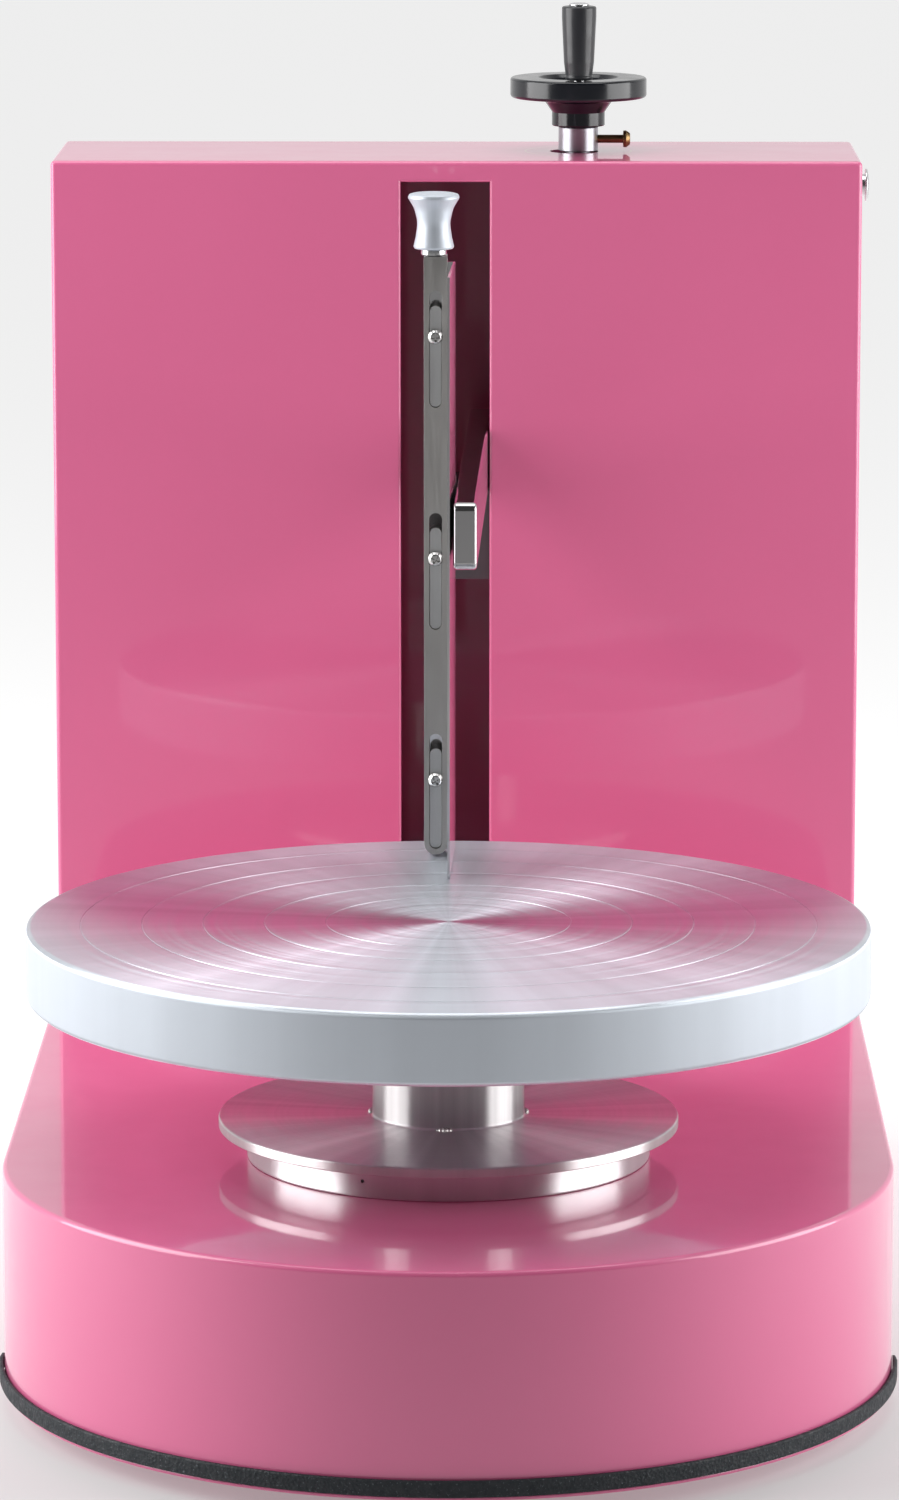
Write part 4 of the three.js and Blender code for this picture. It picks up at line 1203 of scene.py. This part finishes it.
def build_arm():
    refined("lift_arm", "stainless", arm_steel, 1.5, 4)
    refined("arm_bracket", "dark_steel", plate_steel, 0.5)
    refined("scraper_mount", "dark_steel", plate_steel, 0.8)
    refined("scraper_bar", "stainless", bar_steel, 0.55, 3)
    refined("scraper_blade", "mirror_steel", blade_steel, 0.2, 2)
    for index in range(1, 4):
        node = f"blade_screw_{index}"
        centre = middle(node)
        seat = (centre.x, span(node)[0].y + BLADE_SCREW["height"], centre.z)
        turn = TO_FRONT @ Matrix.Rotation(math.radians(BLADE_SCREW_TURN * index), 4, "Z")
        pan_screw(f"{node}_head", seat, turn, node, "stainless", **BLADE_SCREW)
    build_slot_keys()
    front = span("arm_bracket")[0].y - 0.05
    for index, (x, z) in enumerate(BRACKET_SCREWS):
        extra_screw(f"bracket_screw_{index + 1}", 3.2, 2.4, (x, front, z))


BAR_SLOTS = ((202.3, 253.0), (298.7, 349.6), (395.2, 445.6))
KEY_HALF = 2.6
KEY_RECESS = 0.7  # from the bar's front to the key
KEY_TRAVEL = 6.5
KEY_GAP = 0.3
KEY_STEPS = 12


def build_slot_keys():
    """A guide key in each slot of the bar, which slides with the blade and its screw."""
    bar_low, bar_high = span("scraper_bar")
    x = (bar_low.x + bar_high.x) / 2
    back, front = -bar_high.y - 0.2, -bar_low.y - KEY_RECESS
    for index, (z0, z1) in enumerate(BAR_SLOTS):
        outline = []
        for z, first in ((z1 - KEY_TRAVEL - KEY_HALF, 0.0), (z0 + KEY_GAP + KEY_HALF, math.pi)):
            for step in range(KEY_STEPS + 1):
                angle = first + math.pi * step / KEY_STEPS
                outline.append((x + KEY_HALF * math.cos(angle), z + KEY_HALF * math.sin(angle)))
        key = prism(f"slot_key_{index + 1}", outline, back, front, turn=TO_FRONT)
        show(round_edges(key, 0.2), "blade", "stainless", key_steel)


def extra_screw(name, head, height, seat):
    """A cross-head screw that only the visual model has, in the arm bracket's front."""
    screw = lathe(name, [
        (0, -1.5),
        (head * 0.5, -1.5),
        (head * 0.5, 0),
        (head, 0, 0.1),
        (head, height * 0.4, 0.7),
        (head * 0.66, height, 0.8),
        (0, height),
    ], segments=40)
    drive_cross(screw, head, height)
    show(seat_screw(screw, seat, TO_FRONT), "carriage", "stainless", screw_steel)


def build_grip_knob():
    low, high = span("grip_knob")
    centre = middle("grip_knob")
    foot, top = low.z, high.z
    reach = high.x - centre.x
    knob = lathe("bar_knob", [
        (0, foot),
        (8.3, foot, 0.3),
        (8.7, foot + 0.9, 0.5),
        (7.8, foot + 4.6, 5.0),
        (6.9, foot + 11, 12.0),
        (8.4, foot + 17.4, 12.0),
        (reach, foot + 21.8, 1.1),
        (reach - 0.6, top - 0.5, 0.8),
        (reach - 2.4, top, 1.5),
        (0, top),
    ], (centre.x, centre.y, 0), segments=96)
    show(knob, "arm", "satin_aluminium", knob_metal, "grip_knob")
    refined("knob_washer", "stainless", bright_steel, 0.4)


# ---- Assembly ----

build_base()
build_trim()
build_feet()
build_column()
build_rear_cover()
build_seat()
build_plate()
build_hub()
build_drive()
build_controls()
build_lift()
build_handwheel()
build_arm()
build_grip_knob()

# ---- Camera, light and floor ----

CAMERA_PLACE = (28.74, -2691.0, 764.4)  # millimetres about the plate's axis
CAMERA_DOWN = 10.392  # degrees
CAMERA_TURN = 0.603
CAMERA_LENS = 159.26
WORLD_FRONT = 0.05  # brightness
WORLD_BEHIND = 0.75
FLOOR_HALF = 30.0  # metres


def build_camera():
    data = bpy.data.cameras.new("camera")
    data.lens = CAMERA_LENS
    data.sensor_width = 36
    data.clip_end = 100
    camera = bpy.data.objects.new("camera", data)
    camera.location = AXIS + Vector(CAMERA_PLACE) * MM
    camera.rotation_euler = (math.radians(90 - CAMERA_DOWN), 0, math.radians(CAMERA_TURN))
    scene.collection.objects.link(camera)
    scene.camera = camera


def softbox(name, place, target, width, height, radiance):
    """A rectangular white area light of a given brightness, aimed at a point. Metres."""
    light = bpy.data.lights.new(name, "AREA")
    light.shape = "RECTANGLE"
    light.size = width
    light.size_y = height
    light.energy = radiance * math.pi * width * height
    obj = bpy.data.objects.new(name, light)
    obj.location = place
    obj.rotation_euler = (Vector(target) - Vector(place)).to_track_quat("-Z", "Y").to_euler()
    scene.collection.objects.link(obj)


def build_world():
    """A studio that is bright behind the object and dim in front of it."""
    world = bpy.data.worlds.new("studio")
    world.use_nodes = True
    tree = world.node_tree
    background = tree.nodes["Background"]
    background.inputs["Color"].default_value = (1, 1, 1, 1)
    coordinates = tree.nodes.new("ShaderNodeTexCoord")
    split = tree.nodes.new("ShaderNodeSeparateXYZ")
    spread = tree.nodes.new("ShaderNodeMapRange")
    spread.inputs[1].default_value = -0.3
    spread.inputs[2].default_value = 0.6
    spread.inputs[3].default_value = WORLD_FRONT
    spread.inputs[4].default_value = WORLD_BEHIND
    tree.links.new(coordinates.outputs["Generated"], split.inputs[0])
    tree.links.new(split.outputs["Y"], spread.inputs[0])
    tree.links.new(spread.outputs[0], background.inputs["Strength"])
    scene.world = world


def build_floor():
    """A pale matt floor that glows more with the distance behind the object."""
    bm = bmesh.new()
    corners = ((-1, -1), (1, -1), (1, 1), (-1, 1))
    bm.faces.new([bm.verts.new((x * FLOOR_HALF, y * FLOOR_HALF, 0)) for x, y in corners])
    mesh = bpy.data.meshes.new("floor")
    bm.to_mesh(mesh)
    bm.free()
    floor = bpy.data.objects.new("floor", mesh)
    scene.collection.objects.link(floor)
    paint = Paint("pale_floor", (0.45, 0.45, 0.45), 0, 0.9, Specular_IOR_Level=0.0)
    paint.shader.inputs["Emission Color"].default_value = (1, 1, 1, 1)
    depth = paint.node("SeparateXYZ", {0: paint.node("TexCoord").outputs["Object"]}).outputs["Y"]
    glow = paint.spread(depth, 0.05, 0.7, -0.7, 0.6)
    paint.tree.links.new(glow, paint.shader.inputs["Emission Strength"])
    mesh.materials.append(paint.material)


build_camera()
build_world()
build_floor()
softbox("left_box", (-1.3, -0.18, 0.75), (0, 0.0, 0.25), 1.25, 1.4, 4.9)
softbox("right_box", (1.3, -0.18, 0.55), (0, 0.0, 0.25), 1.2, 1.05, 4.3)
softbox("top_box", (0, 0.1, 1.8), (0, 0.05, 0.2), 1.6, 0.9, 2.6)
scene.view_settings.view_transform = "Standard"
